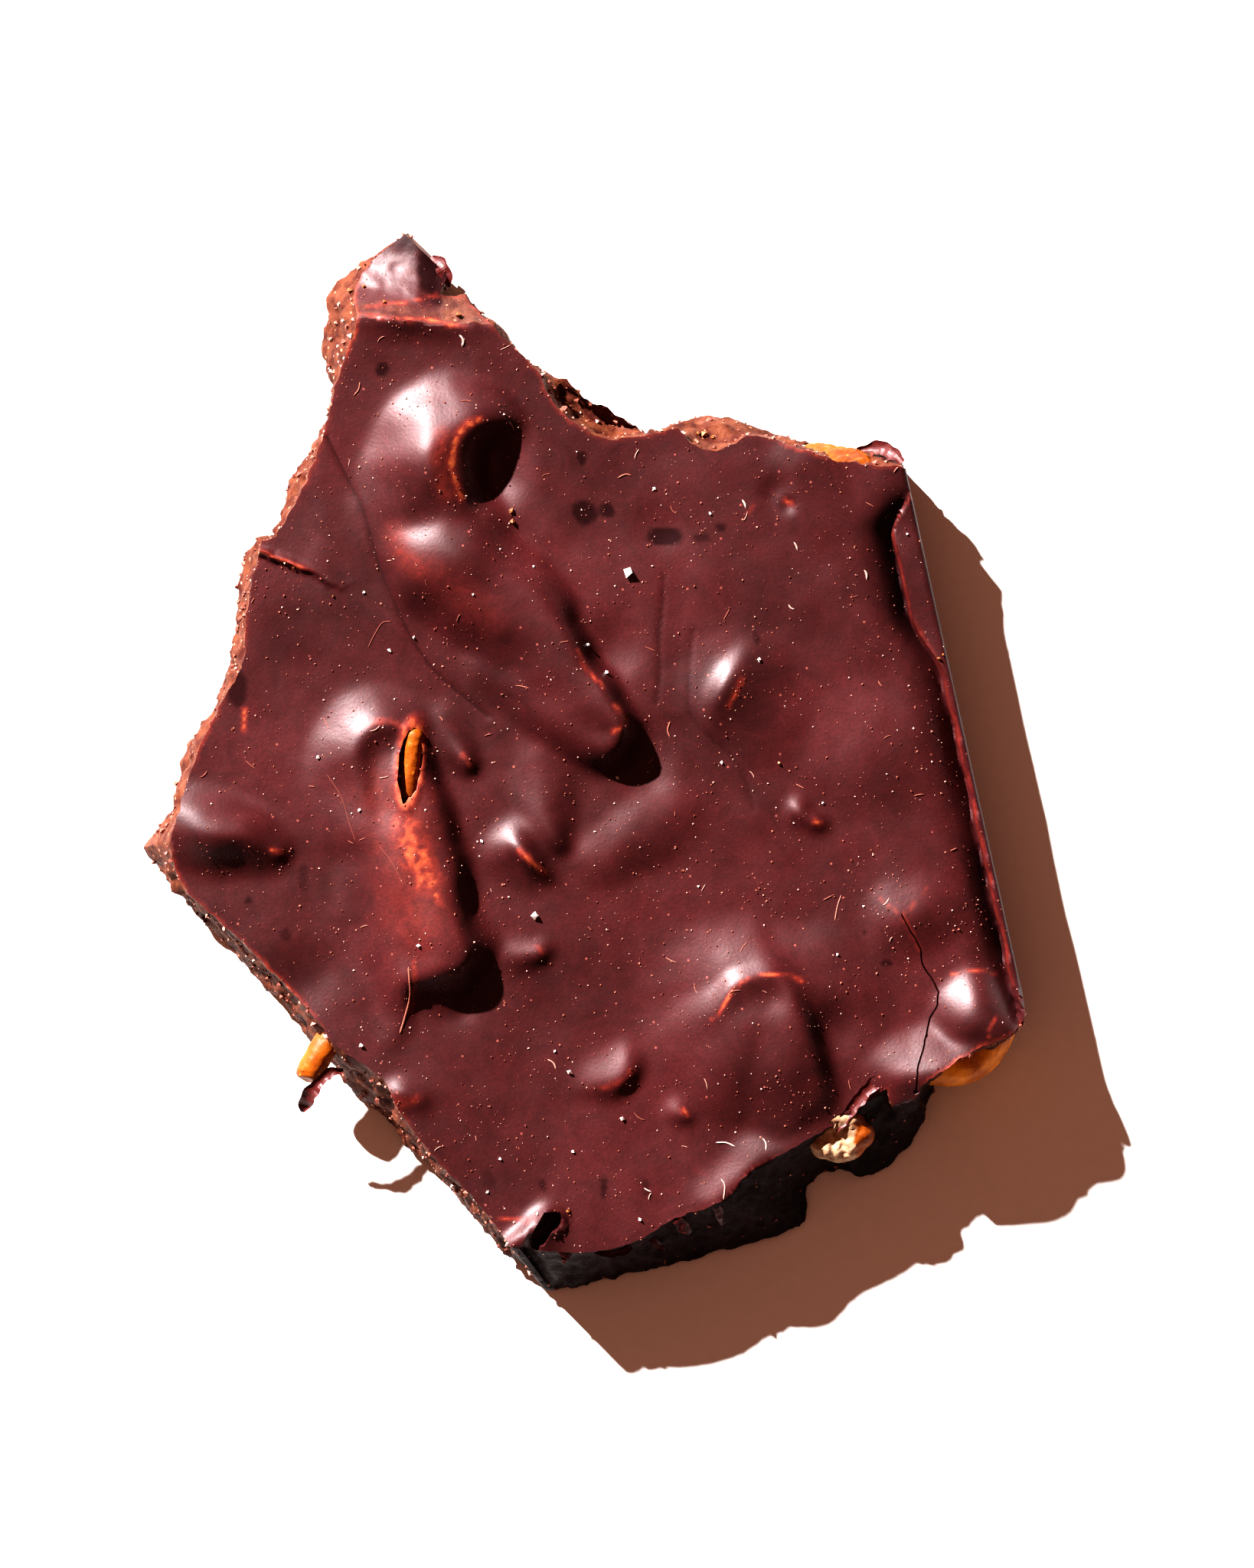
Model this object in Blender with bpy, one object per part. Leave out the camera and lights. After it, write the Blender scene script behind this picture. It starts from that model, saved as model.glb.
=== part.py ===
"""Broken piece of a pretzel dark chocolate bar, lying on its moulded face.

The right side keeps the straight edge that the mould gave it, and the other sides are broken.
The poured face is up. Pieces of pretzel push it into lumps, and five of them show: one at the
corner, one on each of three broken sides, and one through a chipped lump.
Lengths are in millimetres until a mesh is made. +X is right, +Y points to the tip, +Z is up,
and the origin lies on the moulded face, under the middle of the piece.
"""

import math
from collections import namedtuple

import bmesh
import bpy
import numpy as np
from mathutils import Matrix, Vector, noise
from mathutils.geometry import delaunay_2d_cdt

MM = 0.001

# Driving sizes of the bar
BAR_THICKNESS = 7.0
DRAFT = 0.14
FOOT_ROUNDING = 0.1

# The moulded edge: a narrow lip, a groove inside it and a soft shoulder up to the poured face
LIP_DROP = 0.6
LIP_WIDE = 2.1
LIP_NARROW = 0.65
GROOVE_DEPTH = 1.5
SHOULDER = 4.0
# Rows of mesh points follow the groove at these distances from the lip's inner side
GROOVE_ROWS = (-0.3, 0.3, 1.5)
ROW_CLEARANCE = 0.3

# The broken tip: a step down from the poured face, then a slope to the point
TIP_STEP_LEFT = (-17.0, 33.5)
TIP_STEP_RIGHT = (-6.5, 32.7)
TIP_STEP = 1.0
TIP_STEP_RUN = 0.6
TIP_SLOPE = 0.41

# The broken sides
CRAG = 0.45
CRAG_LENGTH = 2.6
WALL_STRIPS = 3

# Pretzel pieces sit in their pockets with this much room all round
POCKET_GAP = 0.3

CELL = 1.25
STRAND_SIDES = 12
CAP_RINGS = 3

CHOCOLATE_COLOUR = (0.115, 0.024, 0.022, 1.0)
CRUST_COLOUR = (0.62, 0.20, 0.035, 1.0)

# A place on the outline: where the poured face ends (rim), the furthest point of the side below
# it (edge) and its height, how rough the break is, how deep a ditch lies between rim and edge,
# and whether the outline turns sharply there.
Station = namedtuple(
    "Station", "rim edge edge_z rough ditch corner", defaults=(0.8, 1.0, 0.0, False)
)

# The outline runs clockwise, seen from above.
TIP = [
    Station((-17.7, 30.9), (-19.6, 30.5)),
    Station((-16.9, 33.2), (-19.4, 33.6)),
    Station((-17.2, 35.9), (-18.8, 36.0), 1.2),
    Station((-16.1, 37.7), (-16.5, 38.0), 2.0),
    Station((-13.4, 40.0), (-13.2, 40.2), 2.2, rough=0.0, corner=True),
    Station((-10.1, 36.8), (-9.9, 36.9), 2.0, rough=0.4, corner=True),
    Station((-10.7, 35.4), (-10.5, 35.4), 2.0, rough=0.4),
    Station((-8.8, 35.3), (-8.7, 35.4), 2.0, corner=True),
    Station((-6.6, 32.7), (-6.5, 32.8), 2.0),
]
HOLLOW_BREAK = [
    Station((-3.2, 29.4), (-2.9, 29.5), 3.0, corner=True),
    Station((-2.4, 27.6), (-0.8, 28.5), 4.2, ditch=2.0),
    Station((-0.7, 25.7), (1.0, 27.3), 4.2, ditch=2.5),
    Station((1.8, 24.4), (3.0, 26.0), 4.2, ditch=2.5),
    Station((4.8, 24.6), (5.1, 24.9), 3.0, corner=True),
]
UPPER_BREAK = [
    Station((7.3, 25.2), (7.6, 25.7), 2.0, corner=True),
    Station((8.3, 24.0), (8.8, 26.4), 1.5),
    Station((10.5, 23.6), (10.3, 26.5), 1.5),
    Station((12.4, 24.5), (12.2, 25.6), 1.5),
    Station((16.9, 23.5), (16.9, 24.4), 1.5, corner=True),
    Station((19.3, 22.7), (19.3, 23.0), 1.5),
    Station((21.0, 22.5), (21.1, 23.5), 1.5),
    Station((22.6, 22.3), (22.7, 24.0), 1.5),
    Station((24.1, 22.3), (24.2, 22.9), 2.5, rough=0.3, corner=True),
]
MOULDED_EDGE = [
    Station((24.5, 22.0), (24.5, 22.0), 5.4, rough=0.0, corner=True),
    Station((33.3, -17.5), (33.3, -17.5), 5.4, rough=0.0, corner=True),
]
PRETZEL_CORNER = [
    Station((33.35, -19.2), (33.4, -19.2), 4.6, rough=0.0),
    Station((32.7, -20.7), (32.8, -20.7), 3.0, rough=0.3),
    Station((30.7, -21.8), (30.9, -22.0), 1.5),
    Station((27.3, -23.4), (27.4, -23.6)),
    Station((25.4, -24.7), (26.5, -25.0)),
]
FRONT_BREAK = [
    Station((25.1, -25.5), (26.0, -27.2), corner=True),
    Station((23.4, -26.0), (24.9, -29.0), corner=True),
    Station((23.0, -24.6), (23.4, -31.0), corner=True),
    Station((20.4, -26.4), (21.4, -31.7)),
    Station((17.8, -28.0), (19.4, -31.1)),
    Station((15.0, -29.6), (17.3, -32.5)),
    Station((12.7, -30.9), (16.9, -34.9)),
    Station((11.1, -32.8), (13.4, -36.5)),
    Station((7.3, -34.3), (8.4, -37.7)),
    Station((4.2, -36.1), (5.2, -38.7)),
    Station((-1.0, -37.0), (-0.2, -39.8)),
    Station((-5.3, -36.5), (-2.7, -40.2), rough=0.0, corner=True),
]
LOWER_LEFT_BREAK = [
    Station((-7.3, -33.9), (-5.0, -37.9)),
    Station((-11.0, -29.9), (-9.2, -33.4)),
    Station((-13.5, -26.7), (-12.0, -30.3)),
    Station((-15.0, -23.9), (-14.2, -27.8)),
    Station((-18.0, -21.8), (-18.0, -24.3)),
    Station((-21.2, -18.0), (-22.3, -19.0)),
    Station((-24.9, -14.2), (-26.6, -14.4)),
    Station((-30.7, -7.9), (-31.9, -8.6)),
    Station((-31.0, -6.0), (-33.4, -6.5), rough=0.0, corner=True),
]
LEFT_BREAK = [
    Station((-30.4, -3.9), (-31.4, -3.7)),
    Station((-28.8, 1.2), (-30.0, 1.2)),
    Station((-27.1, 4.6), (-27.6, 4.6)),
    Station((-25.6, 7.4), (-26.8, 7.8)),
    Station((-25.3, 11.2), (-26.4, 11.4)),
    Station((-24.4, 15.5), (-25.4, 15.8)),
    Station((-24.1, 16.7), (-24.5, 17.1), corner=True),
    Station((-23.0, 17.0), (-23.2, 17.1), corner=True),
    Station((-20.8, 21.1), (-22.2, 21.1)),
    Station((-19.2, 25.6), (-19.4, 25.6)),
    Station((-18.6, 28.2), (-18.7, 28.3), corner=True),
]
OUTLINE = (
    TIP
    + HOLLOW_BREAK
    + UPPER_BREAK
    + MOULDED_EDGE
    + PRETZEL_CORNER
    + FRONT_BREAK
    + LOWER_LEFT_BREAK
    + LEFT_BREAK
)

# A lump over a covered pretzel piece: the line it follows, its half width and height, the
# bearing of its steep side in degrees from +X, and how much of a cliff that side is.
Lump = namedtuple("Lump", "start end radius height steep_bearing steepness")

LUMPS = [
    Lump((-11.5, 25.4), (-10.3, 19.7), 2.6, 2.8, -10, 1.0),
    Lump((-10.3, 15.8), (2.9, 2.6), 4.0, 2.4, -40, 0.8),
    Lump((-15.4, 1.2), (-9.2, -16.3), 3.7, 2.4, -20, 1.0),
    Lump((-30.0, -5.0), (-22.7, -6.4), 2.0, 1.6, -60, 0.6),
    Lump((-4.8, -6.2), (-4.2, -7.2), 1.6, 1.6, -50, 0.7),
    Lump((-9.2, 1.2), (-8.4, 0.4), 1.4, 1.1, -50, 0.7),
    Lump((11.1, 6.5), (12.5, 6.8), 2.0, 1.4, 180, 1.0),
    Lump((17.1, -3.8), (17.5, -4.1), 0.9, 0.8, -30, 0.6),
    Lump((1.8, -7.3), (6.5, -4.5), 1.9, 1.0, 0, 0.0),
    Lump((13.0, -17.6), (15.6, -22.5), 3.9, 2.3, 10, 0.6),
    Lump((0.9, -24.5), (3.6, -23.3), 1.3, 1.2, -30, 0.7),
    Lump((7.5, -26.3), (8.0, -26.6), 0.9, 0.7, -30, 0.5),
    Lump((-4.6, -14.2), (-4.1, -14.6), 1.2, 0.9, -40, 0.4),
    Lump((28.4, -17.3), (31.0, -18.5), 2.6, 2.6, -70, 0.6),
    Lump((24.0, -20.8), (29.0, -21.9), 2.3, 1.6, 0, 0.0),
    Lump((24.6, -10.3), (25.2, -10.6), 1.8, 0.9, -40, 0.3),
    Lump((20.8, 2.0), (21.6, 2.6), 5.0, 0.8, 0, 0.0),
    Lump((-5.8, -34.6), (-3.4, -33.9), 1.7, 1.5, -20, 0.8),
    Lump((-13.2, -25.0), (-13.0, -25.4), 1.3, 1.0, 0, 0.5),
    Lump((17.4, 20.3), (18.2, 20.3), 3.4, 0.6, 0, 0.0),
    Lump((15.0, -28.6), (20.0, -27.0), 3.6, 0.9, 0, 0.0),
]
LUMP_BLEND = 2.5

# A pretzel piece that shows: the line along its middle, its half thickness, and the plane of
# its broken face as a point and a bearing (None where no broken face shows).
Strand = namedtuple("Strand", "path radius break_point break_normal seed")

CORNER_BEND_CENTRE = (27.7, -17.8)
CORNER_BEND_RADIUS = 3.7
CORNER_BEND_FROM = -40.0
CORNER_BEND_TO = -108.0
CORNER_STRAND_HEIGHT = 3.7


def corner_bend():
    """Points along the middle of the bent strand at the corner."""
    count = 7
    points = []
    for i in range(count):
        turn = CORNER_BEND_FROM + (CORNER_BEND_TO - CORNER_BEND_FROM) * i / (count - 1)
        bearing = math.radians(turn)
        points.append(
            (
                CORNER_BEND_CENTRE[0] + CORNER_BEND_RADIUS * math.cos(bearing),
                CORNER_BEND_CENTRE[1] + CORNER_BEND_RADIUS * math.sin(bearing),
                CORNER_STRAND_HEIGHT,
            )
        )
    return points


STRANDS = {
    "pretzel_corner": Strand(corner_bend(), 2.6, None, None, 3.0),
    "pretzel_front": Strand(
        [(19.3, -25.4, 3.6), (19.8, -27.4, 3.7), (20.2, -28.9, 3.8)],
        2.3,
        (20.1, -28.4, 5.3),
        (0.10, -0.38, 0.92),
        11.0,
    ),
    "pretzel_upper": Strand(
        [(18.0, 22.6, 3.7), (19.2, 22.3, 3.7), (20.2, 22.1, 3.7)],
        2.3,
        (19.2, 23.6, 5.3),
        (0.05, 0.68, 0.73),
        19.0,
    ),
    "pretzel_side": Strand(
        [(-18.6, -20.6, 4.2), (-19.6, -21.8, 4.2), (-20.3, -22.9, 4.1)],
        1.4,
        (-20.6, -23.6, 4.1),
        (-0.35, -0.92, 0.20),
        27.0,
    ),
    "pretzel_ridge": Strand(
        [(-12.8, 1.9, 6.0), (-12.9, -0.2, 6.1), (-13.2, -2.4, 6.0)],
        2.0,
        None,
        None,
        33.0,
    ),
}
STRAND_BUMP = 0.12
STRAND_BUMP_LENGTH = 2.2

# The chip in the lump over pretzel_ridge: an upright slot from the pretzel to the open air
CHIP_CENTRE = (-12.9, -0.2)
CHIP_HALF_LENGTH = 2.8
CHIP_HALF_WIDTH = 0.85
CHIP_BEARING = 84.0
CHIP_FLOOR = 6.4
CHIP_TOP = 11.0


def smoothstep(low, high, value):
    t = np.clip((value - low) / (high - low), 0.0, 1.0)
    return t * t * (3.0 - 2.0 * t)


def from_segment(x, y, start, end):
    """Offset of each point from the nearest point of a segment."""
    run_x = end[0] - start[0]
    run_y = end[1] - start[1]
    along = ((x - start[0]) * run_x + (y - start[1]) * run_y) / (run_x**2 + run_y**2)
    along = np.clip(along, 0.0, 1.0)
    return x - start[0] - along * run_x, y - start[1] - along * run_y


def lump_height(lump, x, y):
    """A soft mound along the lump's line, with a cliff on its steep side."""
    off_x, off_y = from_segment(x, y, lump.start, lump.end)
    away = np.hypot(off_x, off_y)
    reach = away / lump.radius
    bearing = math.radians(lump.steep_bearing)
    facing = (off_x * math.cos(bearing) + off_y * math.sin(bearing)) / (away + 1e-6)
    cliff_share = lump.steepness * smoothstep(-0.2, 0.7, facing)
    mound = np.exp(-((1.25 * reach) ** 2))
    cliff = 1.0 - smoothstep(0.7, 1.1, reach)
    return lump.height * (mound + (cliff - mound) * cliff_share)


def all_lumps(x, y):
    total = sum(lump_height(lump, x, y) ** LUMP_BLEND for lump in LUMPS)
    return total ** (1.0 / LUMP_BLEND)


def pouring_waves(x, y):
    """The slow unevenness of chocolate that set as it was poured."""
    long_wave = np.sin(x / 6.1 + 0.6) * np.cos(y / 7.9 - 0.4)
    short_wave = np.sin((x + 1.7 * y) / 5.2)
    return 0.14 * long_wave + 0.06 * short_wave


def moulded_edge_frame():
    """Start of the moulded edge, its run, its length and the direction into the bar."""
    start = np.array(MOULDED_EDGE[0].rim)
    run = np.array(MOULDED_EDGE[1].rim) - start
    length = np.linalg.norm(run)
    return start, run, length, np.array((run[1], -run[0])) / length


def lip_width(y):
    """The lip is wide in its upper part and runs out before the upper corner."""
    wide = LIP_NARROW + (LIP_WIDE - LIP_NARROW) * smoothstep(4.0, 12.0, y)
    return wide * (1.0 - smoothstep(16.5, 20.7, y))


def moulded_edge_drop(x, y):
    """How far the face lies below the pour near the moulded edge."""
    start, _, _, inward = moulded_edge_frame()
    inside = (x - start[0]) * inward[0] + (y - start[1]) * inward[1] - lip_width(y)
    groove = GROOVE_DEPTH * (1.0 - smoothstep(0.0, SHOULDER, inside))
    drop = LIP_DROP + (groove - LIP_DROP) * smoothstep(-0.25, 0.25, inside)
    return drop * smoothstep(-22.0, -18.0, y)


def tip_drop(x, y):
    """The broken tip: a step below the poured face, then a slope."""
    rise = (TIP_STEP_RIGHT[1] - TIP_STEP_LEFT[1]) / (TIP_STEP_RIGHT[0] - TIP_STEP_LEFT[0])
    step_y = TIP_STEP_LEFT[1] + rise * (x - TIP_STEP_LEFT[0])
    beyond = y - step_y
    step = TIP_STEP * smoothstep(0.0, TIP_STEP_RUN, beyond)
    return step + TIP_SLOPE * np.maximum(beyond - TIP_STEP_RUN, 0.0)


def poured_face(x, y):
    """Height of the poured face above the moulded face."""
    face = BAR_THICKNESS + all_lumps(x, y) + pouring_waves(x, y)
    return face - moulded_edge_drop(x, y) - tip_drop(x, y)


def tangent(before, here, after, here_is_corner, leaving):
    """Direction of the outline at a station, per unit of length."""
    step_in = here - before
    step_out = after - here
    length_in = np.linalg.norm(step_in) + 1e-9
    length_out = np.linalg.norm(step_out) + 1e-9
    if here_is_corner:
        return step_out / length_out if leaving else step_in / length_in
    blended = step_in / length_in * length_out + step_out / length_out * length_in
    return blended / (length_in + length_out)


def curve_point(points, corners, i, t):
    """Point at share t of the way from station i to the next, on a smooth curve."""
    count = len(points)
    before, start, end, after = (points[(i + k) % count] for k in (-1, 0, 1, 2))
    length = np.linalg.norm(end - start)
    leave = tangent(before, start, end, corners[i], True) * length
    arrive = tangent(start, end, after, corners[(i + 1) % count], False) * length
    return (
        start * (2 * t**3 - 3 * t**2 + 1)
        + leave * (t**3 - 2 * t**2 + t)
        + end * (3 * t**2 - 2 * t**3)
        + arrive * (t**3 - t**2)
    )


def outline_samples(cell):
    """Rim and edge points about one cell apart, with edge height, roughness and ditch."""
    rims = [np.array(s.rim) for s in OUTLINE]
    edges = [np.array(s.edge) for s in OUTLINE]
    sides = [np.array((s.edge_z, s.rough, s.ditch)) for s in OUTLINE]
    corners = [s.corner for s in OUTLINE]
    rows = []
    for i in range(len(OUTLINE)):
        after = (i + 1) % len(OUTLINE)
        rim_run = np.linalg.norm(rims[after] - rims[i])
        edge_run = np.linalg.norm(edges[after] - edges[i])
        steps = max(1, round(max(rim_run, edge_run) / cell))
        for k in range(steps):
            t = k / steps
            rim = curve_point(rims, corners, i, t)
            edge = curve_point(edges, corners, i, t)
            side = sides[i] * (1 - t) + sides[after] * t
            rows.append(np.concatenate((rim, edge, side)))
    return np.array(rows)


def outward_normals(loop):
    """Unit normals that point out of a clockwise loop."""
    run = np.roll(loop, -1, axis=0) - np.roll(loop, 1, axis=0)
    normals = np.stack((-run[:, 1], run[:, 0]), axis=1)
    return normals / (np.linalg.norm(normals, axis=1, keepdims=True) + 1e-9)


def wall_ring(samples, rim_z, share):
    """One ring round the side, at a share of the way from the rim to the edge."""
    rim = samples[:, 0:2]
    edge = samples[:, 2:4]
    edge_z = samples[:, 4]
    rough = samples[:, 5]
    ditch = samples[:, 6]
    place = rim + (edge - rim) * share
    height = rim_z + (edge_z - rim_z) * share
    height = height - ditch * math.sin(math.pi * share)
    out = outward_normals(rim + edge)
    swing = math.sin(math.pi * min(share, 0.75))
    crags = np.array(
        [
            noise.noise(Vector((p[0], p[1], z)) / CRAG_LENGTH)
            for p, z in zip(place, height)
        ]
    )
    place = place + out * (crags * CRAG * rough * swing)[:, None]
    return np.column_stack((place, height))


def foot_ring(samples):
    """The ring where the side meets the moulded face."""
    edge = samples[:, 2:4]
    inset = DRAFT * samples[:, 4] + FOOT_ROUNDING
    place = edge - outward_normals(edge) * inset[:, None]
    return np.column_stack((place, np.zeros(len(place))))


def inside_loop(x, y, loop):
    """Which points lie inside a closed loop."""
    inside = np.zeros(len(x), bool)
    after = np.roll(loop, -1, axis=0)
    for (ax, ay), (bx, by) in zip(loop, after):
        if ay == by:
            continue
        crosses = (ay > y) != (by > y)
        inside ^= crosses & (x < (bx - ax) * (y - ay) / (by - ay) + ax)
    return inside


def groove_points(cell):
    """Points along the lip and the groove, so that both come out straight."""
    start, run, length, inward = moulded_edge_frame()
    points = []
    for share in np.arange(cell, length - cell, cell) / length:
        on_edge = start + run * share
        lip = lip_width(on_edge[1])
        for beside_lip in GROOVE_ROWS:
            if lip + beside_lip > ROW_CLEARANCE:
                points.append(on_edge + inward * (lip + beside_lip))
    return np.array(points)


def clear_of(points, others, distance):
    """The points that lie further than a distance from all the others."""
    gaps = points[:, None, :] - others[None, :, :]
    nearest = np.sqrt((gaps**2).sum(axis=2)).min(axis=1)
    return points[nearest > distance]


def face_grid(rim, cell):
    """Evenly spread points inside the rim, kept clear of it and of the groove's rows."""
    row_step = cell * math.sqrt(3.0) / 2.0
    low = rim.min(axis=0)
    high = rim.max(axis=0)
    points = []
    for row in range(int((high[1] - low[1]) / row_step) + 1):
        shift = cell * 0.5 * (row % 2)
        xs = np.arange(low[0] + shift, high[0], cell)
        points.append(np.column_stack((xs, np.full(len(xs), low[1] + row * row_step))))
    points = np.concatenate(points)
    points = points[inside_loop(points[:, 0], points[:, 1], rim)]
    points = clear_of(points, rim, 0.6 * cell)
    rows = clear_of(groove_points(cell), rim, ROW_CLEARANCE)
    return np.concatenate((clear_of(points, rows, 0.7 * cell), rows))


def face_triangles(rim, grid):
    """Triangles over the rim loop and the grid, numbered rim first."""
    points = [Vector(p) for p in np.concatenate((rim, grid))]
    count = len(rim)
    borders = [(i, (i + 1) % count) for i in range(count)]
    _, _, triangles, origins, _, _ = delaunay_2d_cdt(points, borders, [], 1, 1e-6)
    number = [found[0] for found in origins]
    return [tuple(number[corner] for corner in triangle) for triangle in triangles]


def slab_mesh():
    """The chocolate as one closed mesh, before the pockets are cut."""
    samples = outline_samples(CELL)
    rim = samples[:, 0:2]
    rim_z = poured_face(rim[:, 0], rim[:, 1])
    grid = face_grid(rim, CELL)
    grid_z = poured_face(grid[:, 0], grid[:, 1])
    rings = [np.column_stack((rim, rim_z)), np.column_stack((grid, grid_z))]
    rings += [wall_ring(samples, rim_z, k / WALL_STRIPS) for k in range(1, WALL_STRIPS + 1)]
    rings.append(foot_ring(samples))
    count = len(rim)
    starts = [0] + [count + len(grid) + k * count for k in range(WALL_STRIPS + 1)]
    faces = face_triangles(rim, grid)
    for upper, lower in zip(starts, starts[1:]):
        for i in range(count):
            j = (i + 1) % count
            faces.append((upper + i, upper + j, lower + j, lower + i))
    faces.append(tuple(range(starts[-1], starts[-1] + count)))
    mesh = bpy.data.meshes.new("slab")
    mesh.from_pydata((np.concatenate(rings) * MM).tolist(), [], faces)
    return mesh


def strand_rings(strand, grow):
    """Rings round a strand from end to end, each as a centre, a direction and a radius."""
    path = [Vector(p) for p in strand.path]
    radius = strand.radius + grow
    first = (path[1] - path[0]).normalized()
    last = (path[-1] - path[-2]).normalized()
    caps = [math.radians(90.0 * k / CAP_RINGS) for k in range(1, CAP_RINGS)]
    rings = []
    for turn in caps:
        rings.append((path[0] - first * radius * math.cos(turn), first, radius * math.sin(turn)))
    for i, point in enumerate(path):
        ahead = path[min(i + 1, len(path) - 1)]
        behind = path[max(i - 1, 0)]
        rings.append((point, (ahead - behind).normalized(), radius))
    for turn in reversed(caps):
        rings.append((path[-1] + last * radius * math.cos(turn), last, radius * math.sin(turn)))
    ends = (path[0] - first * radius, path[-1] + last * radius)
    return rings, ends


def add_strand(work, strand, grow):
    """A bumpy baked strand with round ends, added to a bmesh in millimetres."""
    rings, ends = strand_rings(strand, grow)
    seed = Vector((strand.seed, 0.0, 0.0))
    loops = []
    for centre, direction, radius in rings:
        side = direction.cross(Vector((0.0, 0.0, 1.0))).normalized()
        up = side.cross(direction)
        loop = []
        for k in range(STRAND_SIDES):
            turn = 2.0 * math.pi * k / STRAND_SIDES
            spoke = side * math.cos(turn) + up * math.sin(turn)
            bump = STRAND_BUMP * noise.noise((centre + spoke * radius) / STRAND_BUMP_LENGTH + seed)
            loop.append(work.verts.new(centre + spoke * (radius + bump)))
        loops.append(loop)
    for loop, after in zip(loops, loops[1:]):
        for k in range(STRAND_SIDES):
            n = (k + 1) % STRAND_SIDES
            work.faces.new((loop[k], loop[n], after[n], after[k]))
    for end, loop, turned in ((ends[0], loops[0], True), (ends[1], loops[-1], False)):
        pole = work.verts.new(end)
        for k in range(STRAND_SIDES):
            n = (k + 1) % STRAND_SIDES
            work.faces.new((loop[n], loop[k], pole) if turned else (loop[k], loop[n], pole))


def break_strand(work, strand, grow):
    """Cuts the strand off flat where its broken face shows."""
    if strand.break_point is None:
        return
    normal = Vector(strand.break_normal).normalized()
    whole = work.verts[:] + work.edges[:] + work.faces[:]
    cut = bmesh.ops.bisect_plane(
        work,
        geom=whole,
        plane_co=Vector(strand.break_point) + normal * grow,
        plane_no=normal,
        clear_outer=True,
    )
    open_edges = [e for e in cut["geom_cut"] if isinstance(e, bmesh.types.BMEdge)]
    bmesh.ops.holes_fill(work, edges=open_edges)


def finished_mesh(name, work):
    """Turns a bmesh in millimetres into a mesh in metres, with its faces pointing out."""
    bmesh.ops.recalc_face_normals(work, faces=work.faces[:])
    bmesh.ops.scale(work, verts=work.verts[:], vec=(MM, MM, MM))
    mesh = bpy.data.meshes.new(name)
    work.to_mesh(mesh)
    work.free()
    return mesh


def strand_mesh(name, strand, grow=0.0):
    work = bmesh.new()
    add_strand(work, strand, grow)
    break_strand(work, strand, grow)
    return finished_mesh(name, work)


def chip_mesh():
    """The upright slot that opens the coat over pretzel_ridge."""
    work = bmesh.new()
    corners = 10
    for height in (CHIP_FLOOR, CHIP_TOP):
        for k in range(corners):
            turn = 2.0 * math.pi * k / corners
            along = CHIP_HALF_LENGTH * math.cos(turn)
            across = CHIP_HALF_WIDTH * math.sin(turn)
            place = Matrix.Rotation(math.radians(CHIP_BEARING), 2) @ Vector((along, across))
            work.verts.new((CHIP_CENTRE[0] + place.x, CHIP_CENTRE[1] + place.y, height))
    work.verts.ensure_lookup_table()
    work.faces.new(work.verts[:corners])
    work.faces.new(work.verts[corners:])
    for k in range(corners):
        n = (k + 1) % corners
        work.faces.new([work.verts[i] for i in (k, n, corners + n, corners + k)])
    return finished_mesh("chip", work)


def material(name, colour, roughness):
    made = bpy.data.materials.new(name)
    made.use_nodes = True
    shader = made.node_tree.nodes["Principled BSDF"]
    shader.inputs["Base Color"].default_value = colour
    shader.inputs["Roughness"].default_value = roughness
    shader.inputs["Metallic"].default_value = 0.0
    return made


def add_object(name, mesh, finish):
    thing = bpy.data.objects.new(name, mesh)
    bpy.context.scene.collection.objects.link(thing)
    if finish is not None:
        mesh.materials.append(finish)
    return thing


def cut_pocket(slab, name, mesh):
    """Cuts a pocket from the slab with a hidden cutter."""
    cutter = add_object(name, mesh, None)
    cutter.hide_render = True
    cutter.display_type = "WIRE"
    pocket = slab.modifiers.new(name, "BOOLEAN")
    pocket.operation = "DIFFERENCE"
    pocket.solver = "EXACT"
    pocket.object = cutter


def build():
    for old in list(bpy.data.objects):
        bpy.data.objects.remove(old)
    chocolate = material("dark_chocolate", CHOCOLATE_COLOUR, 0.38)
    crust = material("pretzel_crust", CRUST_COLOUR, 0.45)
    slab = add_object("slab", slab_mesh(), chocolate)
    cut_pocket(slab, "chip_cutter", chip_mesh())
    for name, strand in STRANDS.items():
        piece = add_object(name, strand_mesh(name, strand), crust)
        piece.data.shade_smooth()
        cut_pocket(slab, name + "_cutter", strand_mesh(name + "_cutter", strand, POCKET_GAP))


build()
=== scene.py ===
"""Looks of one broken piece of pretzel dark chocolate bar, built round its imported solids.

The chocolate is made again from the sizes of its solid, with a mesh fine enough for the flow
marks, the crack, the ragged breaks and the thin coats over pretzel. The pretzel pieces keep
their places and get a baked crust and an open crumb. Dust, salt and splinters lie on top.
Lengths are in millimetres until a mesh is finished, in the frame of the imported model.
"""

import math
from collections import namedtuple

import bmesh
import bpy
import numpy as np
from mathutils import Euler, Matrix, Vector, bvhtree, kdtree, noise
from mathutils.geometry import delaunay_2d_cdt


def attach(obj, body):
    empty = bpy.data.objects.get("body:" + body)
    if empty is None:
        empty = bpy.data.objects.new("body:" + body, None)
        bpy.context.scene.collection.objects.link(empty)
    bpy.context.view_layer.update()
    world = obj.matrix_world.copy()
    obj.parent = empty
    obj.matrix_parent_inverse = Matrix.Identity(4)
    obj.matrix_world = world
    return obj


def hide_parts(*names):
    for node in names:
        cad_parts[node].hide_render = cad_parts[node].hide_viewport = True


MM = 0.001

# Driving sizes of the bar
BAR_THICKNESS = 7.0
DRAFT = 0.14
FOOT_ROUNDING = 0.1

# Spacing of the fine mesh, and the angle from which its edges are shaded sharp
CELL = 0.3
UPPER_RINGS = 20
LOWER_RINGS = 7
SHARP_ANGLE = 50.0

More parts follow.
